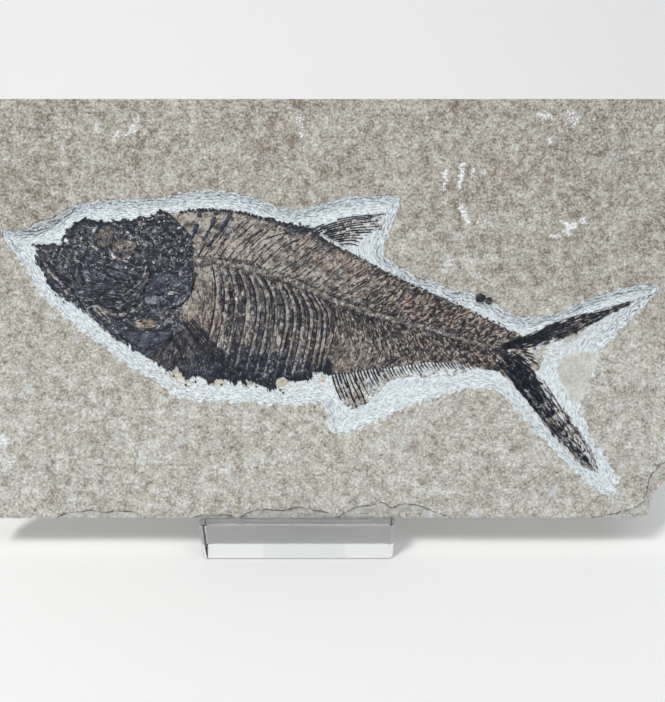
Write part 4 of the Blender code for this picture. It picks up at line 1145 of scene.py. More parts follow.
def make_ribs(material):
    """Flat pale ribs, each with a thin black line beside it: partly the rib's dark outline, partly a painted
    drop shadow.
    """
    rng = np.random.default_rng(25)
    ribs, lines = Bundle(), Bundle()
    for index, run in enumerate(rib_runs()):
        if index > 2:
            part = run[rng.integers(0, 4):RIB_POINTS - rng.integers(0, 6)]
            width = rng.uniform(0.45, 0.75)
            add_bars(ribs, [part], rng, width, 0.24, film_level, broken=0.4, ragged=0.8, taper=0.8)
        if index > 1:
            # The black line runs along each rib's left side: a dark outline together with a painted drop
            # shadow
            beside = run - (rng.uniform(0.6, 0.8), 0)
            width = rng.uniform(0.28, 0.42)
            add_bars(lines, [beside], rng, width, 0.34, film_level, broken=0.2, ragged=0.7, taper=0.8)
        for _ in range(2 if index > 3 else 1):
            low = rng.integers(3, 15)
            part = run[low:low + 8] + (rng.uniform(0.5, 2.2), 0)
            add_bars(lines, [part], rng, 0.2, 0.3, film_level, ragged=0.7)
    finish_bundle("ribs", ribs, material, ["trunk"], (0.62, -0.1, 0.1), 0.26)
    finish_bundle("rib_edges", lines, material, ["trunk"], (0.04, 0, 0.2), 0.08)


def sweep(start, lean, length, outline, step=0.8):
    """A run from a start that follows a field of directions while it stays inside an outline."""
    spot = np.array(start, float)
    run = [spot]
    for _ in range(int(length / step)):
        turn = math.radians(lean(spot[0]))
        spot = spot + step * np.array((math.cos(turn), math.sin(turn)))
        run.append(spot)
    run = np.array(run)
    run = run[inside(run, outline)]
    return run if len(run) > 4 else None


def make_spines(material):
    """The many fine spines above and below the backbone."""
    rng = np.random.default_rng(6)
    spines = Bundle()
    trunk = np.asarray(TRUNK)
    column = smooth_run(COLUMN, 1.0)
    for lift, reach, every, width in ((1.0, 17, 1.15, 0.30), (7, 14, 1.7, 0.27), (13, 12, 2.0, 0.24)):
        runs = []
        for foot in column[::3]:
            if rng.random() > 1 / every:
                continue
            start = foot + (0.5 * lift + rng.uniform(-0.5, 0.5), lift + rng.uniform(-0.8, 0.8))
            off = rng.uniform(-4, 4)
            run = sweep(start, lambda u: lean_above(u) + off, reach * rng.uniform(0.6, 1.1), trunk)
            if run is not None:
                runs.append(run)
        add_bars(spines, runs, rng, width, 0.2, film_level, broken=0.35, ragged=0.6, taper=0.5)
    for drop, reach in ((1.4, 11), (5, 10), (9, 10)):
        runs = []
        for foot in column[::2]:
            if foot[0] < -3:
                continue
            start = foot - (0, drop + rng.uniform(-0.6, 0.6))
            off = rng.uniform(-5, 5)
            run = sweep(start, lambda u: lean_below(u) + off, reach * rng.uniform(0.7, 1.1), trunk)
            if run is not None:
                runs.append(run)
        add_bars(spines, runs, rng, 0.28, 0.2, film_level, broken=0.35, ragged=0.6, taper=0.5)
    finish_bundle("spines", spines, material, ["trunk"], (0.08, 0.3, 0.1), 0.14)


def make_backbone(material):
    """Small spool-shaped vertebrae, end to end; the dark line under them comes from the trunk film's tone."""
    rng = np.random.default_rng(7)
    path = smooth_run(COLUMN, 0.25)
    walked = np.concatenate([[0], np.cumsum(np.hypot(*np.diff(path, axis=0).T))])
    bones = Bundle()
    length = walked[-1] / VERTEBRA_COUNT
    for index in range(VERTEBRA_COUNT):
        marks = np.linspace(index * length + 0.12, (index + 1) * length - 0.12, 7)
        run = np.column_stack([np.interp(marks, walked, path[:, k]) for k in (0, 1)])
        size = np.interp(index / VERTEBRA_COUNT, (0, 0.5, 1), (1.6, 1.55, 1.0)) * rng.uniform(0.8, 1.1)
        waist = 1 - 0.32 * np.sin(np.linspace(0, math.pi, 7))
        base = film_level(run)
        bones.add(*bar_along(run, size * waist, np.full(7, 0.34) * waist, base))
    finish_bundle("backbone", bones, material, ["trunk"], (0.60, -0.5, 0.1), 0.3)


THICK_BARS = (
    ((-52.4, 122.6), (-54, 116.2), (-56.4, 111)),
    ((-46, 122.6), (-48, 117), (-51.6, 111)),
    ((-39.6, 122.6), (-42, 118.6), (-47.2, 111.4), (-49.6, 108.6)),
)
THIN_BARS = (
    ((-35.2, 119), (-39.6, 114.2), (-45.2, 108.2)), ((-31.2, 117.8), (-35.2, 114.2), (-40.4, 110.2)),
    ((-27.6, 115.8), (-32.4, 112.6), (-37.2, 109)), ((-24.4, 117), (-29.2, 114.2), (-33.6, 111)),
    ((-8.4, 115), (-16.4, 114.6), (-21.6, 113.4), (-27.6, 111.4)),
    ((-12.4, 111.8), (-15.6, 110.6), (-18.4, 109)),
    ((-65.7, 122.6), (-62.4, 119.4), (-58.8, 116.2), (-56, 113)),
)
PECTORAL_FIN = (
    ((-59.4, 78), (-54.4, 71.6), (-49.4, 65.4), (-46.4, 61.8)),
    ((-58.4, 79.2), (-52.4, 72.2), (-45.6, 65), (-42.4, 62)), ((-56, 80.2), (-50, 73.6), (-44.6, 67)),
)
THROAT_RAYS = (
    ((-60.2, 73), (-58.2, 66.6), (-55.8, 60)), ((-61.2, 72.4), (-60.4, 66.6), (-58.6, 60.6)),
    ((-61.8, 72.6), (-63.4, 66.6), (-63.8, 62.4)), ((-59.4, 72.6), (-54.8, 66.4), (-51.6, 60.4)),
    ((-62.6, 73), (-66, 69), (-68.4, 65.4)), ((-59, 71.4), (-56.2, 68.8), (-52.4, 66.4)),
)


def make_trunk_bars(material):
    rng = np.random.default_rng(8)
    thick, bars = Bundle(), Bundle()
    add_bars(thick, THICK_BARS, rng, 1.15, 0.3, film_level, broken=0.15, ragged=0.6, taper=0.5, step=0.5)
    add_bars(bars, THIN_BARS, rng, 0.42, 0.24, film_level, broken=0.4, ragged=0.8, taper=0.5)
    pectoral = blended_runs(PECTORAL_FIN, 6, 14)
    add_bars(bars, pectoral, rng, 0.4, 0.42, film_level, broken=0.15, ragged=0.6, taper=0.7)
    add_bars(bars, THROAT_RAYS, rng, 0.34, 0.34, film_level, broken=0.3, ragged=0.6, taper=0.6)
    finish_bundle("neural_plates", thick, material, ["trunk"], (0.22, -0.2, 1.0), 0.2)
    finish_bundle("trunk_bars", bars, material, ["trunk"], (0.06, 0, 0.5), 0.12)


# Tones (paleness, rust, blue) of small scraps, each with the share at which it ends
COLUMN_TONES = ((0.62, (0.03, 0, 0.2)), (0.82, (0.62, -0.5, 0.2)), (1.0, (0.36, -0.5, 0.3)))
BELLY_TONES = ((0.6, (0.06, -0.5, 0.9)), (0.88, (0.38, -0.5, 0.8)), (1.0, (0.60, -0.5, 0.2)))
REAR_TONES = (
    (0.5, (0.05, 0.3, 0.1)), (0.65, (0.22, 1.6, 0)), (0.78, (0.45, -0.4, 0.2)), (1.0, (0.72, 0.3, 0)),
)
FRONT_TONES = ((0.45, (0.12, 0.4, 0.5)), (0.75, (0.36, 0.9, 0)), (1.0, (0.72, 0.2, 0)))


def make_column_crumbs(material):
    """Black and grey crumbs of bone along both sides of the backbone."""
    rng = np.random.default_rng(26)
    column = smooth_run(COLUMN, 2.0)
    band = np.vstack([column + (0, 3.2), column[::-1] - (0, 3.0)])

    def choose(spot):
        above = spot[1] - height_at(COLUMN, spot[0])
        if rng.random() > 0.18 + 0.75 * math.exp(-((abs(above) - 1.8) / 0.6) ** 2):
            return None
        tone = one_of(COLUMN_TONES, rng.random())
        turn = math.radians(-18) + rng.normal(0, 0.6)
        long, wide = rng.uniform(0.35, 0.95), rng.uniform(0.18, 0.34)
        return long, wide, turn, rng.uniform(0.08, 0.2), film_level, tone

    scatter_scraps("column_crumbs", band, 0.7, rng, choose, material, "body_film", ["trunk"])


EDGE_CRUMBS = (
    (-63.2, 57), (-58.4, 53.4), (-54.4, 54.6), (-20.4, 51.4), (-19.2, 50.2), (-44, 53.6), (-30, 52.8),
)
# Scraps along the back: run, distance apart, spread, tone
EDGE_SCRAPS = (
    (BACK[:13], 0.5, 0.45, (0.04, 0, 0.7)), (BACK[6:12], 0.4, 0.8, (0.06, 0, 0.9)),
    (BACK[12:], 0.8, 0.5, (0.26, 1.2, 0)), (BACK[11:], 1.6, 0.5, (0.08, 0.5, 0)),
)


def make_edge_scutes(material):
    """Small dark spikes and crumbs along the belly and the back."""
    rng = np.random.default_rng(9)
    scutes = Bundle()
    runs = []
    for line, outward, every in ((BELLY_SCUTES, -1, 1.1), (BACK[:11], 1, 1.2)):
        for spot in smooth_run(line, every):
            if rng.random() < 0.25:
                continue
            lean = rng.uniform(-0.9, 0.9)
            tall = rng.uniform(0.1, 1.5) if outward < 0 else rng.uniform(-0.1, 0.7)
            start = spot + (rng.uniform(-0.5, 0.5), -1.2 * outward)
            runs.append([start, spot + (lean, 0.3 * outward), spot + (1.5 * lean, tall * outward)])
    for first, width in ((0, 0.75), (1, 0.45)):
        add_bars(scutes, runs[first::2], rng, width, 0.3, lambda p: np.full(len(p), -0.72), ragged=0.8,
                 taper=0.35, step=0.4)
    dots = [np.array(((u - 0.4, v - 0.1), (u, v), (u + 0.4, v - 0.2))) for u, v in EDGE_CRUMBS]
    add_bars(scutes, dots, rng, 0.5, 0.25, lambda p: np.full(len(p), -1.15), ragged=0.5, taper=0.8, step=0.3)
    finish_bundle("edge_scutes", scutes, material, ["trunk"], (0.06, 0, 0.3), 0.08)

    scraps = Scraps(rng)
    for run, pitch, spread, tone in EDGE_SCRAPS:
        for spot in spaced(run, pitch):
            middle = spot + rng.normal(0, spread, 2) - (0.1, 0.35)
            long, wide = rng.uniform(0.4, 1.1), rng.uniform(0.2, 0.42)
            turn = math.radians(-24) + rng.normal(0, 0.6)
            scraps.place(middle, long, wide, turn, rng.uniform(0.06, 0.18), film_level, tone)
    scraps.finish("edge_scraps", material, "body_film", ["trunk"])


def make_trunk_scraps(material):
    """Dark and tan scraps of scale and rib between the ribs and over the belly."""
    rng = np.random.default_rng(23)

    def choose(spot):
        u, v = spot
        above = v - height_at(COLUMN, u)
        belly = ease(v, 70, 60) * ease(u, 0, -8)
        chance = 0.75 * belly + 0.30 * (-14 < above < 0) + 0.12 * (above >= 0) + 0.6 * ease(u, 5, 25)
        if rng.random() > chance:
            return None
        lean = lean_above(u) if above > 0 else lean_below(u) if u > 0 else 80
        if belly > 0.4:
            size, tones = 1.0, BELLY_TONES
        elif u > 5:
            size, tones = 1.25, REAR_TONES
        else:
            size, tones = 1.0, FRONT_TONES
        tone = one_of(tones, rng.random())
        long, wide = size * rng.uniform(0.4, 1.1), rng.uniform(0.2, 0.4)
        turn = math.radians(lean) + rng.normal(0, 0.3)
        return long, wide, turn, rng.uniform(0.06, 0.16), film_level, tone

    scatter_scraps("trunk_scraps", TRUNK, 1.15, rng, choose, material, "body_film", ["trunk"])


# ---- skull

# Each bone: outline, how far it stands out, paleness, blue, and the direction of its grain if it has one
SKULL_BONES = (
    (((-118.4, 109.4), (-113.2, 109.6), (-108.4, 109.2), (-106, 108.6), (-104.4, 106.6), (-106.8, 105.8),
      (-109.2, 106.6), (-112.4, 107.2), (-114.8, 107.8), (-117.2, 107.8)), 0.4, 0.16, 0.7, -5),
    (((-118.4, 107.4), (-116, 107), (-114, 105.4), (-112.4, 103.8), (-108.4, 104.4), (-107.6, 103.8),
      (-110.8, 102.4), (-114, 103), (-116.4, 104.2)), 0.3, 0.18, 0.6, -20),
    (((-116.8, 102.6), (-114.4, 102.8), (-112.4, 101), (-109.6, 97.4), (-106, 93.8), (-102, 89.4),
      (-100.4, 86.2), (-102.8, 87.4), (-106, 90.6), (-109.6, 93.8), (-112.8, 97.8), (-115.2, 100.2)),
     0.38, 0.1, 0.8, -50),
    (((-114.6, 99.8), (-113.2, 97.8), (-111.2, 95.4), (-108.4, 93), (-106.8, 90.6), (-106, 89),
      (-108.4, 89), (-111.6, 91.8), (-113.6, 95)), 0.34, 0.22, 0.6, -50),
    (((-106.8, 106.6), (-102, 107.8), (-99.6, 104.2), (-100.4, 99.4), (-98.8, 95.4), (-100.4, 91.4),
      (-103.6, 92.6), (-107.6, 97), (-110.4, 100.2), (-109.2, 103.8)), 0.42, 0.22, 0.6, -65),
    (((-102, 117.4), (-98, 119.4), (-94.4, 118.6), (-94.8, 115.4), (-97.2, 112.2), (-101.2, 110.2),
      (-104.4, 110.2), (-106, 112.2), (-104.8, 115)), 0.34, 0.22, 0.8, 40),
    (((-95.6, 109.8), (-91.6, 107.4), (-89.2, 104.2), (-84.4, 102.2), (-79.6, 102.6), (-76.4, 101),
      (-77.2, 97), (-82, 95), (-88.4, 96.6), (-92.4, 100.2), (-95.6, 104.2)), 0.4, 0.22, 0.8, -25),
    (((-95.6, 118.6), (-87.6, 118.4), (-80.4, 118.8), (-77.6, 120), (-72.4, 120.4), (-68, 123),
      (-66, 121.8), (-66.8, 118.6), (-72.4, 117), (-78.8, 117), (-85.2, 116.2), (-90.8, 117)),
     0.42, 0.2, 0.7, 5),
    (((-77.6, 115.8), (-71.6, 117), (-65.2, 117.8), (-61.2, 117), (-57.2, 113), (-55.6, 107.4),
      (-58.8, 104.2), (-66, 105.8), (-73.2, 107.4), (-77.2, 111)), 0.3, 0.32, 0.7, None),
    (((-99.6, 93), (-94, 93.8), (-87.6, 93.8), (-81.2, 93), (-76.4, 93), (-76, 89.4), (-78.8, 85),
      (-83.6, 83), (-88.4, 83.8), (-93.2, 85.8), (-98, 86.2), (-101.2, 89)), 0.5, 0.24, 0.7, -5),
    (((-75.6, 102.6), (-73.2, 102.6), (-72.4, 98.6), (-73.2, 94.2), (-76, 89.8), (-78.8, 86.6),
      (-81.2, 85.8), (-79.2, 90.6), (-76.4, 95), (-75.6, 99)), 0.5, 0.28, 0.5, 60),
    (((-72, 101.8), (-66.8, 100.2), (-61.2, 101), (-56.4, 101), (-55.2, 97), (-55.6, 92.2), (-58, 88.2),
      (-62.8, 85.8), (-68.4, 84.6), (-73.2, 85.8), (-74, 89), (-72.4, 93.8)), 0.62, 0.2, 1.0, 20),
    (((-56.8, 98.6), (-55, 97.8), (-55.2, 91.8), (-57.6, 87.8), (-61.2, 85), (-65.2, 83.8), (-63.6, 86.6),
      (-59.6, 89.4), (-57.2, 93.8)), 0.74, 0.42, 1.0, 60),
    (((-66, 84.2), (-62, 84.2), (-60.4, 81.8), (-60.8, 79.4), (-58, 76.6), (-61.2, 74.2), (-65.2, 75.4),
      (-69.2, 77.8), (-70.8, 81.8)), 0.3, 0.36, 0.6, None),
)
# Bones with a plainer face: those behind the eye, the lower gill plate and the throat plate
SMOOTH_BONES = (
    (((-92.4, 116.6), (-90.1, 117.4), (-87.7, 117.1), (-86.7, 114.7), (-86.9, 111.5), (-88.5, 109.1),
      (-91.5, 108.3), (-93.6, 109.9), (-93.9, 112.9), (-93.1, 115.3)), 0.75, 0.42, -0.3, None),
    (((-87.3, 111.5), (-84.4, 112.1), (-80.4, 111.5), (-77.7, 110.5), (-77.5, 108.3), (-78.5, 106.2),
      (-80.9, 104.6), (-83.6, 105.4), (-86, 106.2), (-87.6, 107.8)), 0.7, 0.50, -0.6, None),
    (((-74, 89), (-70.8, 89.6), (-66.8, 88.6), (-65.2, 87), (-68.4, 85.4), (-72.4, 85.4), (-74.8, 87)),
     0.78, 0.62, 1.0, 0),
    (((-85.6, 75.8), (-80.4, 75), (-74, 75), (-68.4, 75.8), (-63.6, 75), (-64.4, 72.2), (-67.6, 69),
      (-71.6, 67.4), (-75.6, 67.8), (-78.8, 69.4), (-82.8, 72.2)), 0.55, 0.30, 1.2, 8),
    (((-80.8, 78.2), (-78, 79.6), (-74, 80.2), (-70.6, 79.6), (-69.8, 77.4), (-70.6, 76),
      (-75, 75.6), (-79.2, 76.6)), 0.35, 0.44, -0.4, -5),
)
# Lines on the skull: width, height, paleness, run
SKULL_LINES = (
    (0.55, 0.5, 0.98, ((-114.4, 102.3), (-112.8, 98.8), (-110, 96), (-107.6, 93.4), (-104.4, 88.8))),
    (0.35, 0.5, 0.02, ((-112.2, 101.4), (-108.4, 96.6), (-104.4, 91.8), (-102, 89))),
    (0.35, 0.5, 0.80, ((-114.8, 107.4), (-112.4, 105), (-110, 104.6))),
    (0.40, 0.4, 0.02, ((-112.8, 104.2), (-110, 104.6), (-106.8, 106))),
    (0.45, 0.4, 0.02, ((-102, 117.8), (-98.8, 119.6), (-95.6, 118.4), (-88.4, 118.4), (-80.4, 118.8),
                       (-72.4, 120.4), (-67.6, 123.2))),
    (0.70, 0.4, 0.85, ((-88.8, 107.4), (-86.8, 105), (-84, 103.8), (-81.2, 105), (-78.8, 107.4),
                       (-78.4, 109.8))),
    (0.35, 0.6, 0.02, ((-85.2, 105.4), (-82.8, 103.4), (-80.4, 105))),
    (0.35, 0.5, 0.02, ((-80, 105.8), (-78, 108.2), (-75.6, 109), (-73.6, 107.8), (-72.8, 105))),
    (0.50, 0.5, 0.75, ((-97.4, 111), (-95.6, 109.4), (-93.8, 107.4))),
    (0.40, 0.7, 0.02, ((-55.2, 97.6), (-55.6, 92.4), (-57.6, 88), (-61.4, 84.8), (-65.6, 83))),
    (0.34, 0.7, 0.62, ((-74, 100.8), (-74.4, 98.2), (-75.6, 95.8), (-77.2, 93.8), (-79.6, 91.6),
                       (-83.6, 89))),
    (0.66, 0.6, 0.80, ((-98, 83.8), (-95.6, 84.8), (-92.8, 84.2), (-89.6, 82.6), (-86.8, 81.6), (-83.6, 81.6),
                       (-79.6, 82.8), (-77.2, 84.6), (-75.2, 86.6))),
    (0.55, 0.5, 0.0, ((-89.2, 81.2), (-86.4, 80.2), (-84, 80.1), (-79.6, 80.8), (-76.8, 82.4), (-74, 84.4))),
    (0.30, 0.4, 0.0, ((-54, 102.6), (-54.4, 97.4), (-54.8, 93.4))),
    (0.40, 0.5, 0.72, ((-98, 83.8), (-95.6, 80.2), (-91.6, 76.2))),
    (0.30, 0.5, 0.05, ((-97.2, 84.2), (-94, 81), (-89.6, 77))),
    (0.40, 0.5, 0.66, ((-95.6, 84.6), (-92, 81.4), (-87.2, 77))),
    (0.30, 0.5, 0.05, ((-94.2, 84.4), (-91, 81.2), (-86.6, 76.2))),
    (0.40, 0.5, 0.60, ((-92.8, 84.2), (-90, 81), (-86, 75.4))),
    (0.35, 0.4, 0.85, ((-91.2, 76.2), (-88.4, 74.2), (-86.4, 71.8))),
    (0.45, 0.5, 0.02, ((-73.6, 68.2), (-69.2, 69.8), (-64.4, 72.2), (-60.4, 74.6))),
    (0.30, 0.5, 0.02, ((-75.6, 74.9), (-70, 75.2), (-64, 74.8))),
)
SKULL_PATCHES = (
    (-75.6, 117.6, 1.6, 0.9, 0, 1.2), (-69.8, 114.6, 2.2, 1.1, 0, 0.9), (-66.8, 103.4, 2.2, 0.9, 0, 0.9),
    (-64.2, 90.2, 1.8, 1.0, 0, 1.0), (-82, 100.8, 0.9, 0.9, 0, 1.3), (-102.4, 103.8, 1.2, 0.8, 0, 0.8),
    (-97.6, 97.2, 1.2, 2.4, 20, 0.9), (-61, 99.6, 3, 1.0, 0, 0.7), (-98.4, 112, 1.0, 1.0, 0, 0.8),
    (-93.4, 117.2, 1.4, 0.8, 20, 0.8), (-74.4, 77.8, 5.2, 1.9, 0, 0.8), (-106, 114.6, 1.6, 0.9, -40, 0.6),
    (-92, 84.4, 3, 0.8, -10, 0.6), (-80.2, 111.6, 1.2, 2.6, 0, 0.7), (-94, 88, 2.6, 0.5, -8, 0.5),
)
SKULL_RUST = ((-73.4, 77.6, 3.6, 1.6, 0, 1.0), (-90, 113, 4, 5, 0, 0.4), (-82.4, 108.4, 5.4, 4.4, 0, 0.4))


# Pale scraps of bone on the skull: u, v, half length, half width, turn in degrees, paleness
SKULL_SCRAPS = (
    (-94.9, 115.5, 1.9, 0.9, 70, 0.8), (-105.9, 111.5, 1.6, 1.1, 20, 1.0), (-100, 112.1, 0.9, 0.7, 0, 0.75),
    (-95, 109, 2.9, 0.6, -43, 0.8), (-95.5, 106.7, 1.3, 1.0, 0, 0.6), (-102.4, 103.8, 1.3, 0.6, -50, 0.62),
    (-109, 103.3, 1.2, 0.5, 15, 0.55), (-105.3, 97.1, 1.3, 0.7, 90, 0.5), (-97.9, 97.4, 2.0, 1.2, 80, 0.45),
    (-97.4, 95.3, 1.4, 0.45, -20, 0.75), (-87.2, 105, 1.8, 0.8, -55, 0.95),
    (-92.8, 100.2, 0.5, 0.4, 0, 0.85), (-107.5, 93.7, 0.7, 0.6, 0, 0.7), (-104.8, 91.8, 1.1, 0.8, -30, 0.68),
    (-106, 90.3, 1.7, 0.45, -45, 1.0), (-96.3, 91.5, 2.6, 0.55, -15, 0.42),
    (-75.3, 117.7, 1.7, 0.8, 5, 0.78), (-70, 114.7, 2.5, 1.1, 5, 0.52), (-81.3, 114.5, 0.9, 0.6, -50, 0.95),
    (-83.6, 114.5, 0.8, 0.3, 60, 0.95), (-78, 112.6, 0.9, 0.5, 80, 0.75),
    (-80.8, 104.4, 1.2, 0.55, 50, 0.95), (-83, 103.3, 1.3, 0.5, -35, 0.85), (-82, 100.3, 0.6, 0.55, 0, 1.0),
    (-77.2, 105.1, 2.0, 1.2, 15, 0.48), (-67.1, 103.8, 2.3, 1.1, 8, 0.56),
    (-64.9, 99.8, 1.5, 0.55, -8, 0.75), (-59.9, 98.2, 1.7, 1.2, 70, 0.55), (-70.5, 103, 1.2, 0.45, 80, 0.7),
    (-62.5, 104.3, 1.0, 0.35, -40, 0.85), (-62.3, 109.9, 1.5, 0.6, 20, 0.52),
    (-63.1, 111.8, 0.8, 0.5, 0, 0.56), (-54, 112.3, 1.2, 0.8, 80, 0.75), (-54.8, 109.2, 0.8, 0.7, 0, 0.75),
    (-63.9, 90.2, 1.6, 0.8, 0, 0.8), (-76.9, 89.9, 1.2, 0.3, -15, 0.7), (-73.5, 95.3, 0.9, 0.3, 35, 0.7),
    (-66.8, 119, 0.5, 0.35, 0, 0.95), (-68.7, 118.7, 0.6, 0.35, 30, 0.95),
    (-71.3, 120.1, 0.6, 0.4, -30, 0.9), (-57.6, 111.5, 0.9, 0.45, 80, 0.8), (-59.9, 107, 0.8, 0.5, 0, 0.75),
)


def head_level(points):
    """Height of the skull's crumpled surface: folds that run across the cheek, lumps above."""
    u, v = points.T
    folded = np.column_stack([0.35 * u, 1.2 * v])
    fold = 1 - 2.2 * np.abs(lumps(folded, 3.0, 63, 2))
    crumple = 1 - 2.2 * np.abs(lumps(points, 3.4, 64, 2))
    return film_level(points) + 0.16 * np.where(v < 100, fold, crumple) + 0.06 * lumps(points, 1.1, 65)


def bone_top(points):
    """Height of the skull with its bones on it."""
    rise = np.zeros(len(points))
    for outline, stands, *_ in SKULL_BONES + SMOOTH_BONES:
        low, high = np.min(outline, 0) - 0.5, np.max(outline, 0) + 0.5
        if np.any(np.all((points > low) & (points < high), axis=1)):
            rise = np.maximum(rise, 0.85 * stands * ease(signed(points, outline), -0.2, 0.5))
    return head_level(points) + rise


def skull_tone(points):
    pale = 0.35 + 0.16 * lumps(points, 3.2, 51) + 0.12 * lumps(points, 1.0, 52)
    pale += 0.36 * blots(points, SKULL_PATCHES, seed=4)
    rust = 1.6 * blots(points, SKULL_RUST, seed=5) - 0.45
    blue = 0.9 + 0.35 * lumps(points, 5, 53)
    return np.column_stack([pale, rust, blue])


def streaked(points, turn):
    """Coordinates in which noise runs in streaks along a direction in degrees."""
    u, v = points.T
    c, s = math.cos(math.radians(turn)), math.sin(math.radians(turn))
    return np.column_stack([1.25 * (v * c - u * s), 0.3 * (u * c + v * s), 0 * u])


def even_grain(points):
    return np.column_stack([points, 0 * points[:, 0]])


def domed(outline, rise):
    """A low plate with a soft shoulder."""
    def top(points):
        gap, _ = nearest(points, outline, closed=True)
        shoulder = ease(gap, -0.1, 0.4) - 0.25 * ease(gap, 1.0, 4.0)
        height = head_level(points) + rise * 0.8 * (shoulder + 0.22 * lumps(points, 1.1, 61))
        return height + 0.06 * lumps(points, 2.6, 62)
    return top


def make_skull_bones(name, bones, material):
    """Flattened bones of the skull, each a low plate."""
    rng = np.random.default_rng(12)
    plates, tones, grains = Bundle(), [], []
    for index, (outline, rise, pale, blue, turn) in enumerate(bones):
        smooth = smooth_run(outline, 0.45, closed=True)
        edge = smooth + outward_of(smooth) * (0.3 * lumps(smooth, 1.5, index))[:, None]
        corners, faces, _ = plate(edge, scatter(edge, HEAD_PITCH, rng), domed(edge, rise), -1.0)
        flat = corners[:, :2]
        tone = skull_tone(flat)
        near_edge, _ = nearest(flat, edge, closed=True)
        # Paler is lowered near each plate's edge: the bones' dark outlines, with a painted shadow line along
        # the edge
        tone[:, 0] = 0.6 * tone[:, 0] + 0.8 * pale - 0.05 - 0.18 * ease(near_edge, 0.7, 0.25)
        tone[:, 2] = blue
        plates.add(corners, faces)
        tones.append(tone)
        grains.append(even_grain(flat) if turn is None else streaked(flat, turn))
    values = {"tone": np.vstack(tones), "grain": np.vstack(grains)}
    make_piece(name, plates.all_corners(), plates.faces, material, ["skull"], values)


def make_skull_lines(material):
    rng = np.random.default_rng(13)
    dark, pale = Bundle(), Bundle()
    for width, height, paleness, run in SKULL_LINES:
        bundle, broken = (pale, 0.7) if paleness > 0.5 else (dark, 0.2)
        add_bars(bundle, [run], rng, width, 0.6 * height, bone_top, broken=broken, ragged=0.9,
                 taper=0.7, step=0.5)
    folds = blended_runs((
        ((-99.6, 92.4), (-94, 92.6), (-86, 91.6), (-79, 92)),
        ((-99, 88), (-92, 88.4), (-85, 86), (-79.2, 87)),
        ((-96, 86), (-91, 85.6), (-85.6, 83.8), (-80.4, 84.4)),
    ), 9)
    add_bars(dark, folds, rng, 0.3, 0.16, bone_top, broken=0.4, ragged=0.5, taper=0.6)
    finish_bundle("skull_dark_lines", dark, material, ["skull"], (0.04, 0, 0.1), 0.06)
    finish_bundle("skull_pale_lines", pale, material, ["skull"], (0.68, -0.2, 0.1), 0.16)


def make_skull_scraps(material):
    """Broken scraps of bone and stone over the skull and its front edge."""
    rng = np.random.default_rng(14)

    def choose(spot):
        u, v = spot
        rear = u > -79 and v > 99
        snout = u < -86 and v > 101
        opercle = u > -74 and 84 < v < 101
        chance = 0.95 if rear else 0.6 if snout else 0.22 if opercle else 0.30
        if inside(np.array([spot]), SMOOTH_BONES[0][0])[0] or v < 78:
            chance = 0.12
        if rng.random() > chance:
            return None
        pick = rng.random()
        if pick < (0.09 if rear else 0.22 if snout else 0.03):
            tone = (rng.uniform(0.55, 0.85), -0.3, 0.3)
        elif pick < 0.5:
            tone = (rng.uniform(0.34, 0.62), -0.3, 0.8)
        else:
            tone = (rng.uniform(0.0, 0.16), -0.3, 1.0)
        turn = rng.uniform(0, math.pi) if rear else math.radians(-35 if snout else -10) + rng.normal(0, 0.5)
        long = rng.uniform(0.4, 1.3)
        wide = rng.uniform(0.2, 0.45) if tone[0] > 0.3 else rng.uniform(0.3, 0.6)
        return long, wide, turn, rng.uniform(0.06, 0.2), bone_top, tone

    scatter_scraps("skull_scraps", SKULL, 1.0, rng, choose, material, "dark_bone", ["skull"])
    scraps = Scraps(rng)
    for u, v, long, wide, turn, paleness in SKULL_SCRAPS:
        tone = (paleness, 0, 0.2 if paleness > 0.6 else 0.6)
        scraps.place((u, v), long, wide, math.radians(turn), 0.2, bone_top, tone, 6)
    for run, lean in ((SKULL_FRONT, 0.1), (JAW_AND_THROAT, -0.75)):
        for spot in spaced(run, 0.6):
            middle = spot + rng.normal(0, 0.45, 2)
            long, wide = rng.uniform(0.5, 1.5), rng.uniform(0.25, 0.55)
            turn = lean + rng.normal(0, 0.4)
            scraps.place(middle, long, wide, turn, 0.1, film_level, (rng.uniform(0, 0.15), 0, 0.6))
    scraps.finish("skull_pale_scraps", material, "dark_bone", ["skull"])


# ---- fins

DORSAL_RAYS = (
    ((-8.2, 115.4), (-0.4, 118.8), (8.4, 120.8), (22, 122)),
    ((-7.4, 115.2), (0.6, 118.2), (8.6, 120), (19.6, 121.4)),
    ((-6.4, 115), (1.6, 117.6), (8.4, 119.2), (17.2, 120.6)), ((-5.2, 114.6), (5.2, 117.6), (19.2, 119.2)),
    ((-4.4, 114.3), (6, 116.8), (13, 117.8), (18.4, 118)), ((-3.4, 114), (7.6, 116.2), (19.6, 117)),
    ((-2.4, 113.4), (7.6, 115.2), (20.6, 115.8)), ((-1.4, 112.8), (7, 114.2), (16.6, 114.8)),
    ((-0.6, 112.2), (7.8, 113.4), (14.6, 113.4)), ((0.8, 111.4), (7.8, 112.4), (13.2, 112)),
    ((2.2, 110.8), (8.4, 111.4), (11.6, 110.6)), ((3.8, 110), (8, 110), (11, 109.2)),
)


def fin_level(points):
    return np.full(len(points), -0.86) + 0.05 * lumps(points, 1.5, 71)


DORSAL_STAINS = (
    (3, 116.4, 6, 1.6, 20, 0.55), (14, 119.4, 7, 0.8, 6, 0.4), (6, 112.6, 4, 1.8, 0, 0.6),
    (13, 116, 5, 0.6, 4, 0.4), (18, 114, 1.6, 1.2, 0, 0.3),
)
ANAL_STAINS = (
    (4, 50, 2.4, 5, -60, 0.5), (9.6, 46.6, 2.6, 3.4, -60, 0.55), (13, 53, 3, 2, 0, 0.4),
    (22, 56, 4, 1.4, 0, 0.35), (33, 57, 5, 1.4, 0, 0.3), (45, 58.4, 5, 1.2, 0, 0.35),
)


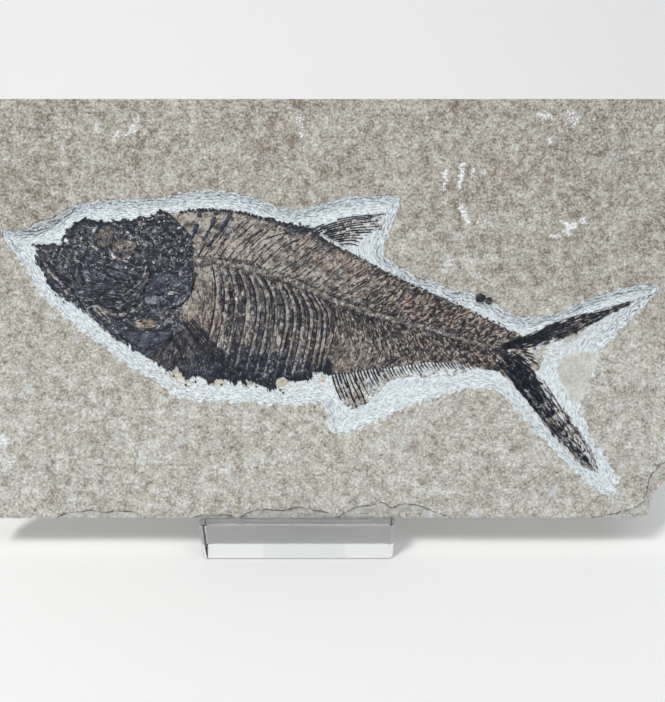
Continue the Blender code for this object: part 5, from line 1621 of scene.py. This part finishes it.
def make_dorsal_fin(film, bone):
    rng = np.random.default_rng(15)
    rays = Bundle()
    add_bars(rays, DORSAL_RAYS, rng, 0.30, 0.30, fin_level, broken=0.3, ragged=0.6, taper=0.6)
    finish_bundle("dorsal_fin_rays", rays, bone, ["dorsal_fin"], (0.05, 0, 0), 0.07)
    make_web("dorsal_fin_web", DORSAL_EDGE, film, "dorsal_fin", 16, DORSAL_STAINS)


def make_web(name, outline, film, fin, seed, stains):
    """The stained stone between a fin's rays."""
    def level(points):
        gap, _ = nearest(points, outline, closed=True)
        return fin_level(points) - 0.1 - 0.45 * ease(gap, 1.4, 0.0)

    def tone(points):
        gap, _ = nearest(points, FISH, closed=True)
        stain = np.maximum(blots(points, stains, ragged=0.7, size=2.0, seed=seed), 0.5 * ease(gap, 2.0, 0.3))
        pale = 0.99 - 0.42 * stain + 0.06 * lumps(points, 1.6, 75)
        return np.column_stack([pale, 0.5 * stain, 0 * gap])

    make_film(name, outline, FILM_PITCH, tone, even_grain, film, [fin], seed, level, under=-1.7)


ANAL_RAYS = 44
STOUT_ANAL_RAYS = 16


def make_anal_fin(film, bone):
    rng = np.random.default_rng(17)
    rays = Bundle()
    runs = []
    for index in range(ANAL_RAYS):
        share = index / (ANAL_RAYS - 1)
        foot = np.interp(share, (0, 0.55, 1), (0.2, 30, 55.6))
        top = height_at(ANAL_EDGE[:9], foot) + 0.6
        length = np.interp(share, (0, 0.08, 0.16, 0.24, 0.4, 1), (12, 17, 15, 9, 6.6, 4.2))
        length *= rng.uniform(0.75, 1.05)
        lean = math.radians(np.interp(share, (0, 0.5, 1), (-68, -62, -52)) + rng.uniform(-4, 4))
        tip = (foot + length * math.cos(lean), top + length * math.sin(lean))
        middle = ((foot + tip[0]) / 2 - 0.3, (top + tip[1]) / 2 - 0.1)
        runs.append([(foot, top), middle, tip])
    front, rear = runs[:STOUT_ANAL_RAYS], runs[STOUT_ANAL_RAYS:]
    add_bars(rays, front, rng, 0.42, 0.34, fin_level, broken=0.3, ragged=0.7, taper=0.6)
    add_bars(rays, rear, rng, 0.32, 0.3, fin_level, broken=0.45, ragged=0.7, taper=0.55)
    finish_bundle("anal_fin_rays", rays, bone, ["anal_fin"], (0.05, 0, 0), 0.07)
    make_web("anal_fin_web", ANAL_EDGE, film, "anal_fin", 18, ANAL_STAINS)


# The dark part of each lobe: middle line, half width along it, and the side that keeps a crisp edge
UPPER_LOBE = (
    ((68.8, 68.4), (74.8, 70.4), (81.2, 71.6), (87.6, 74.4), (94, 76.4), (100.4, 79),
     (106.8, 81.2), (113.2, 83.8), (121, 86.8)),
    (1.4, 2.5, 2.6, 3.2, 3.3, 2.8, 1.8, 1.0, 0.4), 1,
)
LOWER_LOBE = (
    ((68, 66.6), (75.6, 57.8), (83.2, 48.2), (91.2, 37), (99.4, 27), (106.6, 18.4)),
    (2.8, 4.6, 4.7, 4.2, 2.6, 0.7), -1,
)
TAIL_STAINS = (
    (76.4, 66.2, 3.6, 2.4, 0, 1.0), (103, 79, 9, 1.8, 22, 0.9), (95, 74.4, 5, 1.8, 22, 0.7),
    (82, 60, 3, 3, 0, 0.4), (114, 83.6, 6, 1.0, 18, 0.7),
)
# Where the lower lobe's bone has gone, in narrow slits
LOBE_GAPS = (
    (80.8, 47.4, 0.8, 4.6, -142, 1.0), (79.4, 49.6, 0.5, 3.4, -142, 0.8), (85.6, 51.6, 0.8, 3.2, -142, 1.0),
    (83.4, 56, 0.7, 3, -140, 0.8), (88.4, 45, 0.5, 3.6, -142, 0.9), (91.8, 39.6, 0.5, 3.6, -142, 0.9),
    (85, 41.6, 0.5, 3, -142, 0.7), (96.4, 33.6, 0.5, 3.6, -142, 0.9), (99.8, 28, 0.5, 2.6, -142, 0.8),
    (71.4, 60.8, 0.5, 3.4, -142, 0.9), (69, 63, 0.4, 3, -142, 0.8), (88, 48.8, 0.4, 2.6, -142, 0.8),
    (67, 64.6, 0.4, 2.6, -142, 0.9), (72.4, 63, 0.4, 3, -142, 0.8), (74, 58.6, 0.4, 3, -142, 0.6),
)
UPPER_FAN = (
    ((68.4, 69.2), (78, 73), (91.6, 79), (121, 87)), ((68.4, 68.4), (80, 71.4), (94, 76.4), (112, 83)),
    ((68.6, 67.6), (82, 69.4), (91, 72.6), (101, 76.6)),
)
LOWER_FAN = (
    ((69.6, 66), (80, 58), (84, 52.6), (87.2, 46.6)), ((68, 65), (79, 53), (90, 38.4), (105.6, 19.8)),
    ((66.2, 63), (73, 54.4), (82, 43), (99.6, 22.2)),
)
FORK_FAN = (
    ((74, 67.6), (79, 67.2), (85.6, 66)), ((73, 66.6), (79, 63), (84.8, 59)),
    ((72, 66), (77.6, 60.6), (82.6, 55.4)),
)

# Where each lobe's bone frays into splinters
UPPER_FRAY = ((93, 72.8), (104.4, 78), (112, 82.2), (120, 86.2))
LOWER_FRAY = ((86, 54), (90.6, 47), (96, 38.4), (101.6, 30), (106, 22))


def lobe_reach(points, lobe):
    """How far inside a lobe's dark part points lie, how far along it, and whether on its crisp side."""
    middle, widths, crisp_side = lobe
    path = smooth_run(middle, 1.0)
    walked = np.concatenate([[0], np.cumsum(np.hypot(*np.diff(path, axis=0).T))])
    marks = [walked[np.argmin(np.hypot(*(path - spot).T))] for spot in np.asarray(middle)]
    gap, place = nearest(points, path)
    crisp = (points[:, 1] - height_at(path, points[:, 0])) * crisp_side > 0
    return np.interp(place, marks, widths) - gap, place, crisp


def tail_cover(points):
    """0 on the bare stone between the tail's lobes, 1 on their dark bone, frayed on the inner sides."""
    covers = []
    for lobe, seed in ((UPPER_LOBE, 76), (LOWER_LOBE, 77)):
        reach, place, crisp = lobe_reach(points, lobe)
        far = ease(place, 16, 36)
        streaks = lumps(np.column_stack([place * 0.2, reach]), 0.7, seed)
        fray = np.where(crisp, 0.6 + 0.8 * far, 3.2 + 3.0 * far)
        cover = ease(reach + fray * streaks - 0.2, -0.3, 0.3)
        holes = ease(lumps(np.column_stack([place * 0.35, reach]), 0.8, seed + 5), -0.02, 0.06)
        covers.append(cover * (1 - holes * np.where(crisp, 0.05 + 0.75 * far, 0.2 + 0.8 * far)))
    return np.maximum(*covers)


def tail_level(points):
    gap, _ = nearest(points, TAIL_EDGE, closed=True)
    level = -0.92 + 0.42 * tail_cover(points) + 0.04 * lumps(points, 1.2, 73)
    return np.where(gap < 0.05, -1.25, level)


def above_fork(points):
    """How far points lie above the line that parts the tail's lobes."""
    u, v = points.T
    return v - 62 - 0.2 * (u - 80)


def tail_tone(points):
    cover = tail_cover(points)
    stain = blots(points, TAIL_STAINS, ragged=0.6, seed=6)
    bare = 0.95 - 0.48 * stain * (0.7 + 0.8 * lumps(points, 1.3, 79)) + 0.08 * lumps(points, 1.6, 74)
    root = ease(points[:, 0], 72, 67)
    upper = ease(above_fork(points), -2, 2)
    dark = 0.08 - 0.12 * upper + 0.10 * lumps(points, 2, 78) + 0.36 * root
    dark += 0.62 * blots(points, LOBE_GAPS, ragged=0.9, size=1.0, seed=8)
    pale = bare + (dark - bare) * np.maximum(cover, root)
    return np.column_stack([pale, 0.4 * stain * (1 - cover) + 0.5 * root, 0.8 * cover * (1 - root)])


def tail_grain(points):
    u, v = points.T
    turn = np.radians(np.where(above_fork(points) > 0, 22, -52))
    across = v * np.cos(turn) - u * np.sin(turn)
    along = u * np.cos(turn) + v * np.sin(turn)
    return np.column_stack([across * 1.3, 0.18 * along, 0 * u])


def make_tail_fin(film, bone):
    rng = np.random.default_rng(19)
    make_film("tail_fin_film", TAIL_EDGE, TAIL_PITCH, tail_tone, tail_grain, film, ["tail_fin"],
              20, tail_level)
    rays = Bundle()
    upper, lower = blended_runs(UPPER_FAN, 6, 24), blended_runs(LOWER_FAN, 16, 24)
    add_bars(rays, upper, rng, 0.2, 0.30, tail_level, broken=0.9, ragged=0.8, taper=0.5)
    add_bars(rays, lower, rng, 0.15, 0.30, tail_level, broken=0.7, ragged=0.6, taper=0.6)
    fork = []
    for run in blended_runs(FORK_FAN, 9, 16):
        first = rng.integers(2, 8)
        fork.append(run[first:first + rng.integers(6, 10)] + rng.normal(0, 0.15, 2))
    add_bars(rays, fork, rng, 0.5, 0.4, tail_level, ragged=0.6, taper=0.5)
    frays = []
    for spot in spaced(UPPER_FRAY, 1.3):
        frays.append([spot + (-2.2, -0.8), spot, spot + (rng.uniform(0.5, 2.2), rng.uniform(-0.2, 0.9))])
    for spot in spaced(LOWER_FRAY, 1.3):
        frays.append([spot + (-1.0, 1.6), spot, spot + (rng.uniform(0.2, 1.6), rng.uniform(-2.4, -0.6))])
    add_bars(rays, frays, rng, 0.22, 0.26, tail_level, broken=0.3, ragged=0.7, taper=0.4)
    finish_bundle("tail_fin_rays", rays, bone, ["tail_fin"], (0.03, 0, 0.4), 0.08)


# ---- nodule

NODULES = (
    ((57.9, 88.2), (58.4, 89.8), (60, 90.3), (61.8, 89.5), (62.2, 88), (61.4, 86.8), (59.6, 86.2),
     (58.2, 86.9)),
    ((61.9, 88.2), (63, 88.9), (64.4, 88.3), (65, 87), (64.6, 86), (63, 85.6), (61.8, 86.3)),
)


def make_nodule(material):
    """Two dark lumps of mineral, side by side."""
    rng = np.random.default_rng(21)
    lump = Bundle()
    for outline in NODULES:
        edge = frayed(outline, 0.3, 0.2, 82, 0.9)

        def top(points):
            gap, _ = nearest(points, edge, closed=True)
            rise = 0.8 * np.sqrt(np.clip(gap, 0, 1.2) / 1.2)
            return -0.25 + rise * (0.75 + 0.55 * lumps(points, 0.8, 81))

        corners, faces, points = plate(edge, scatter(edge, NODULE_PITCH, rng), top, -1.5)
        lump.add(corners, faces)
    finish_bundle("mineral_nodule_lump", lump, material, ["mineral_nodule"], (0.16, 0.3, 0), 0.15)


# ---- stand

def make_polished(name, node, material):
    """A part of the stand with its sawn edges polished round."""
    mesh = bpy.data.objects[node].data.copy()
    mesh.name = name
    shape = bmesh.new()
    shape.from_mesh(mesh)
    bmesh.ops.remove_doubles(shape, verts=shape.verts, dist=0.00001)
    bmesh.ops.dissolve_limit(shape, angle_limit=math.radians(1), verts=shape.verts, edges=shape.edges)
    sharp = [edge for edge in shape.edges if edge.calc_face_angle(0) > math.radians(25)]
    bmesh.ops.bevel(shape, geom=sharp, offset=POLISHED_EDGE * MM, segments=3, profile=0.5,
                    affect="EDGES", clamp_overlap=True)
    shape.to_mesh(mesh)
    shape.free()
    mesh.materials.clear()
    mesh.materials.append(material)
    mesh.shade_smooth()
    piece = bpy.data.objects.new(name, mesh)
    bpy.context.scene.collection.objects.link(piece)
    smooth = piece.modifiers.new("crisp_flats", "WEIGHTED_NORMAL")
    smooth.keep_sharp = True
    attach(piece, "root")
    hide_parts(node)


# ---- setting

# Metres
TABLE_SIZE = 1.6
SWEEP_START = 0.35
SWEEP_RADIUS = 0.35
FLOOR_GAP = 0.0003
CAMERA_REACH = 0.320

SWEEP_STEPS = 24
LENS = 41.03
LOOK_AT = (0.6, 67.0)  # mm on the face


def on_face(u, v, w=0.0):
    return FACE @ (Vector((u, v, w)) * MM)


def make_setting():
    """A pale table that curves up behind the slab."""
    profile = [(-TABLE_SIZE, -FLOOR_GAP), (SWEEP_START, -FLOOR_GAP)]
    for index in range(1, SWEEP_STEPS + 1):
        turn = math.pi / 2 * index / SWEEP_STEPS
        profile.append((SWEEP_START + SWEEP_RADIUS * math.sin(turn),
                        SWEEP_RADIUS - SWEEP_RADIUS * math.cos(turn) - FLOOR_GAP))
    profile.append((SWEEP_START + SWEEP_RADIUS, TABLE_SIZE))
    mesh = bpy.data.meshes.new("studio_sweep")
    corners = [(x, y, z) for y, z in profile for x in (-TABLE_SIZE, TABLE_SIZE)]
    faces = [(2 * k, 2 * k + 1, 2 * k + 3, 2 * k + 2) for k in range(len(profile) - 1)]
    mesh.from_pydata(corners, [], faces)
    mesh.shade_smooth()
    table = bpy.data.objects.new("studio_sweep", mesh)
    bpy.context.scene.collection.objects.link(table)
    material, _, shader = new_material("studio_paper")
    shader.inputs["Base Color"].default_value = (0.93, 0.93, 0.93, 1)
    shader.inputs["Roughness"].default_value = 0.9
    mesh.materials.append(material)


def add_light(name, place, aim, size, power, colour):
    light = bpy.data.lights.new(name, "AREA")
    light.shape = "RECTANGLE"
    light.size, light.size_y = size
    light.energy = power
    light.color = colour
    lamp = bpy.data.objects.new(name, light)
    lamp.location = place
    lamp.rotation_euler = (Vector(aim) - Vector(place)).to_track_quat("-Z", "Y").to_euler()
    bpy.context.scene.collection.objects.link(lamp)


def make_lights():
    middle = on_face(0, 80)
    window = middle + Vector((-0.75, -0.85, 1.45))
    overhead = middle + Vector((0.3, -0.5, 1.1))
    add_light("window_light", window, middle, (0.45, 0.45), 18.9, (1.0, 0.985, 0.96))
    add_light("soft_overhead", overhead, middle, (1.0, 0.8), 3.6, (0.97, 0.98, 1.0))
    world = bpy.data.worlds.new("room")
    world.use_nodes = True
    background = world.node_tree.nodes["Background"]
    background.inputs["Color"].default_value = (0.95, 0.97, 1.0, 1)
    background.inputs["Strength"].default_value = 0.30
    bpy.context.scene.world = world


def make_camera():
    data = bpy.data.cameras.new("camera")
    data.lens = LENS
    data.clip_start = 0.01
    camera = bpy.data.objects.new("camera", data)
    frame_turn = Matrix((ACROSS, UP_THE_FACE, OUT_OF_THE_FACE)).transposed().to_4x4()
    camera.matrix_world = Matrix.Translation(on_face(*LOOK_AT) + OUT_OF_THE_FACE * CAMERA_REACH) @ frame_turn
    bpy.context.scene.collection.objects.link(camera)
    bpy.context.scene.camera = camera


# ---- all of it

low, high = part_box("limestone_slab")
FOOT = Vector(((low.x + high.x) / 2, low.y, low.z + SLAB_THICKNESS * MM * math.sin(LEAN)))
FACE = Matrix.Translation(FOOT) @ Matrix((ACROSS, UP_THE_FACE, OUT_OF_THE_FACE)).transposed().to_4x4()

groups = {
    "stone_grain": make_stone_grain(),
    "tool_lines": make_tool_lines(),
    "bone_patina": make_bone_patina(),
}
bone = bone_material(
    groups, "dark_bone", False, Contrast=0.8, Streaks=1.2, Cracks=0.1, Speckle=0.5, Flecks=0.1)
film = bone_material(
    groups, "body_film", True, Contrast=0.85, Streaks=1.1, Cracks=0.3, Speckle=0.6, Flecks=0.08,
    Scraps=0.32, Palest=0.84)
tail = bone_material(
    groups, "tail_film", True, Contrast=0.9, Streaks=1.4, Cracks=0.4, Speckle=0.4, Flecks=0.42,
    Scraps=0.15)
head = bone_material(
    groups, "speckled_bone", True, Contrast=0.95, Streaks=1.3, Cracks=0.4, Speckle=0.5, Flecks=0.25,
    Scraps=0.45)
smooth_bone = bone_material(
    groups, "smooth_bone", True, Contrast=0.55, Streaks=1.0, Cracks=0.25, Speckle=0.7, Flecks=0.12,
    Scraps=0.3)
mineral = bone_material(groups, "mineral", False, Contrast=0.9, Cracks=0.2, Flecks=0.1)
clear = clear_material()

stone = limestone_material(groups)
make_slab(stone)
make_film("trunk_film", TRUNK, FILM_PITCH, trunk_tone, trunk_grain, film, ["trunk"], 3,
          raggedness=0.45)
make_film("skull_film", SKULL, HEAD_PITCH, skull_tone, even_grain, head, ["skull"], 4,
          level=head_level, raggedness=0.55)
make_ribs(bone)
make_spines(bone)
make_backbone(bone)
make_trunk_bars(bone)
make_column_crumbs(bone)
make_edge_scutes(bone)
make_trunk_scraps(bone)
make_skull_bones("skull_bones", SKULL_BONES, head)
make_skull_bones("smooth_skull_bones", SMOOTH_BONES, smooth_bone)
make_skull_lines(bone)
make_skull_scraps(bone)
make_dorsal_fin(tail, bone)
make_anal_fin(tail, bone)
make_tail_fin(tail, bone)
make_nodule(mineral)
make_polished("front_bar", "stand_front_bar", clear)
make_polished("easel", "stand_easel", clear)

make_setting()
make_lights()
make_camera()
bpy.context.scene.view_settings.view_transform = "Standard"
bpy.context.view_layer.update()
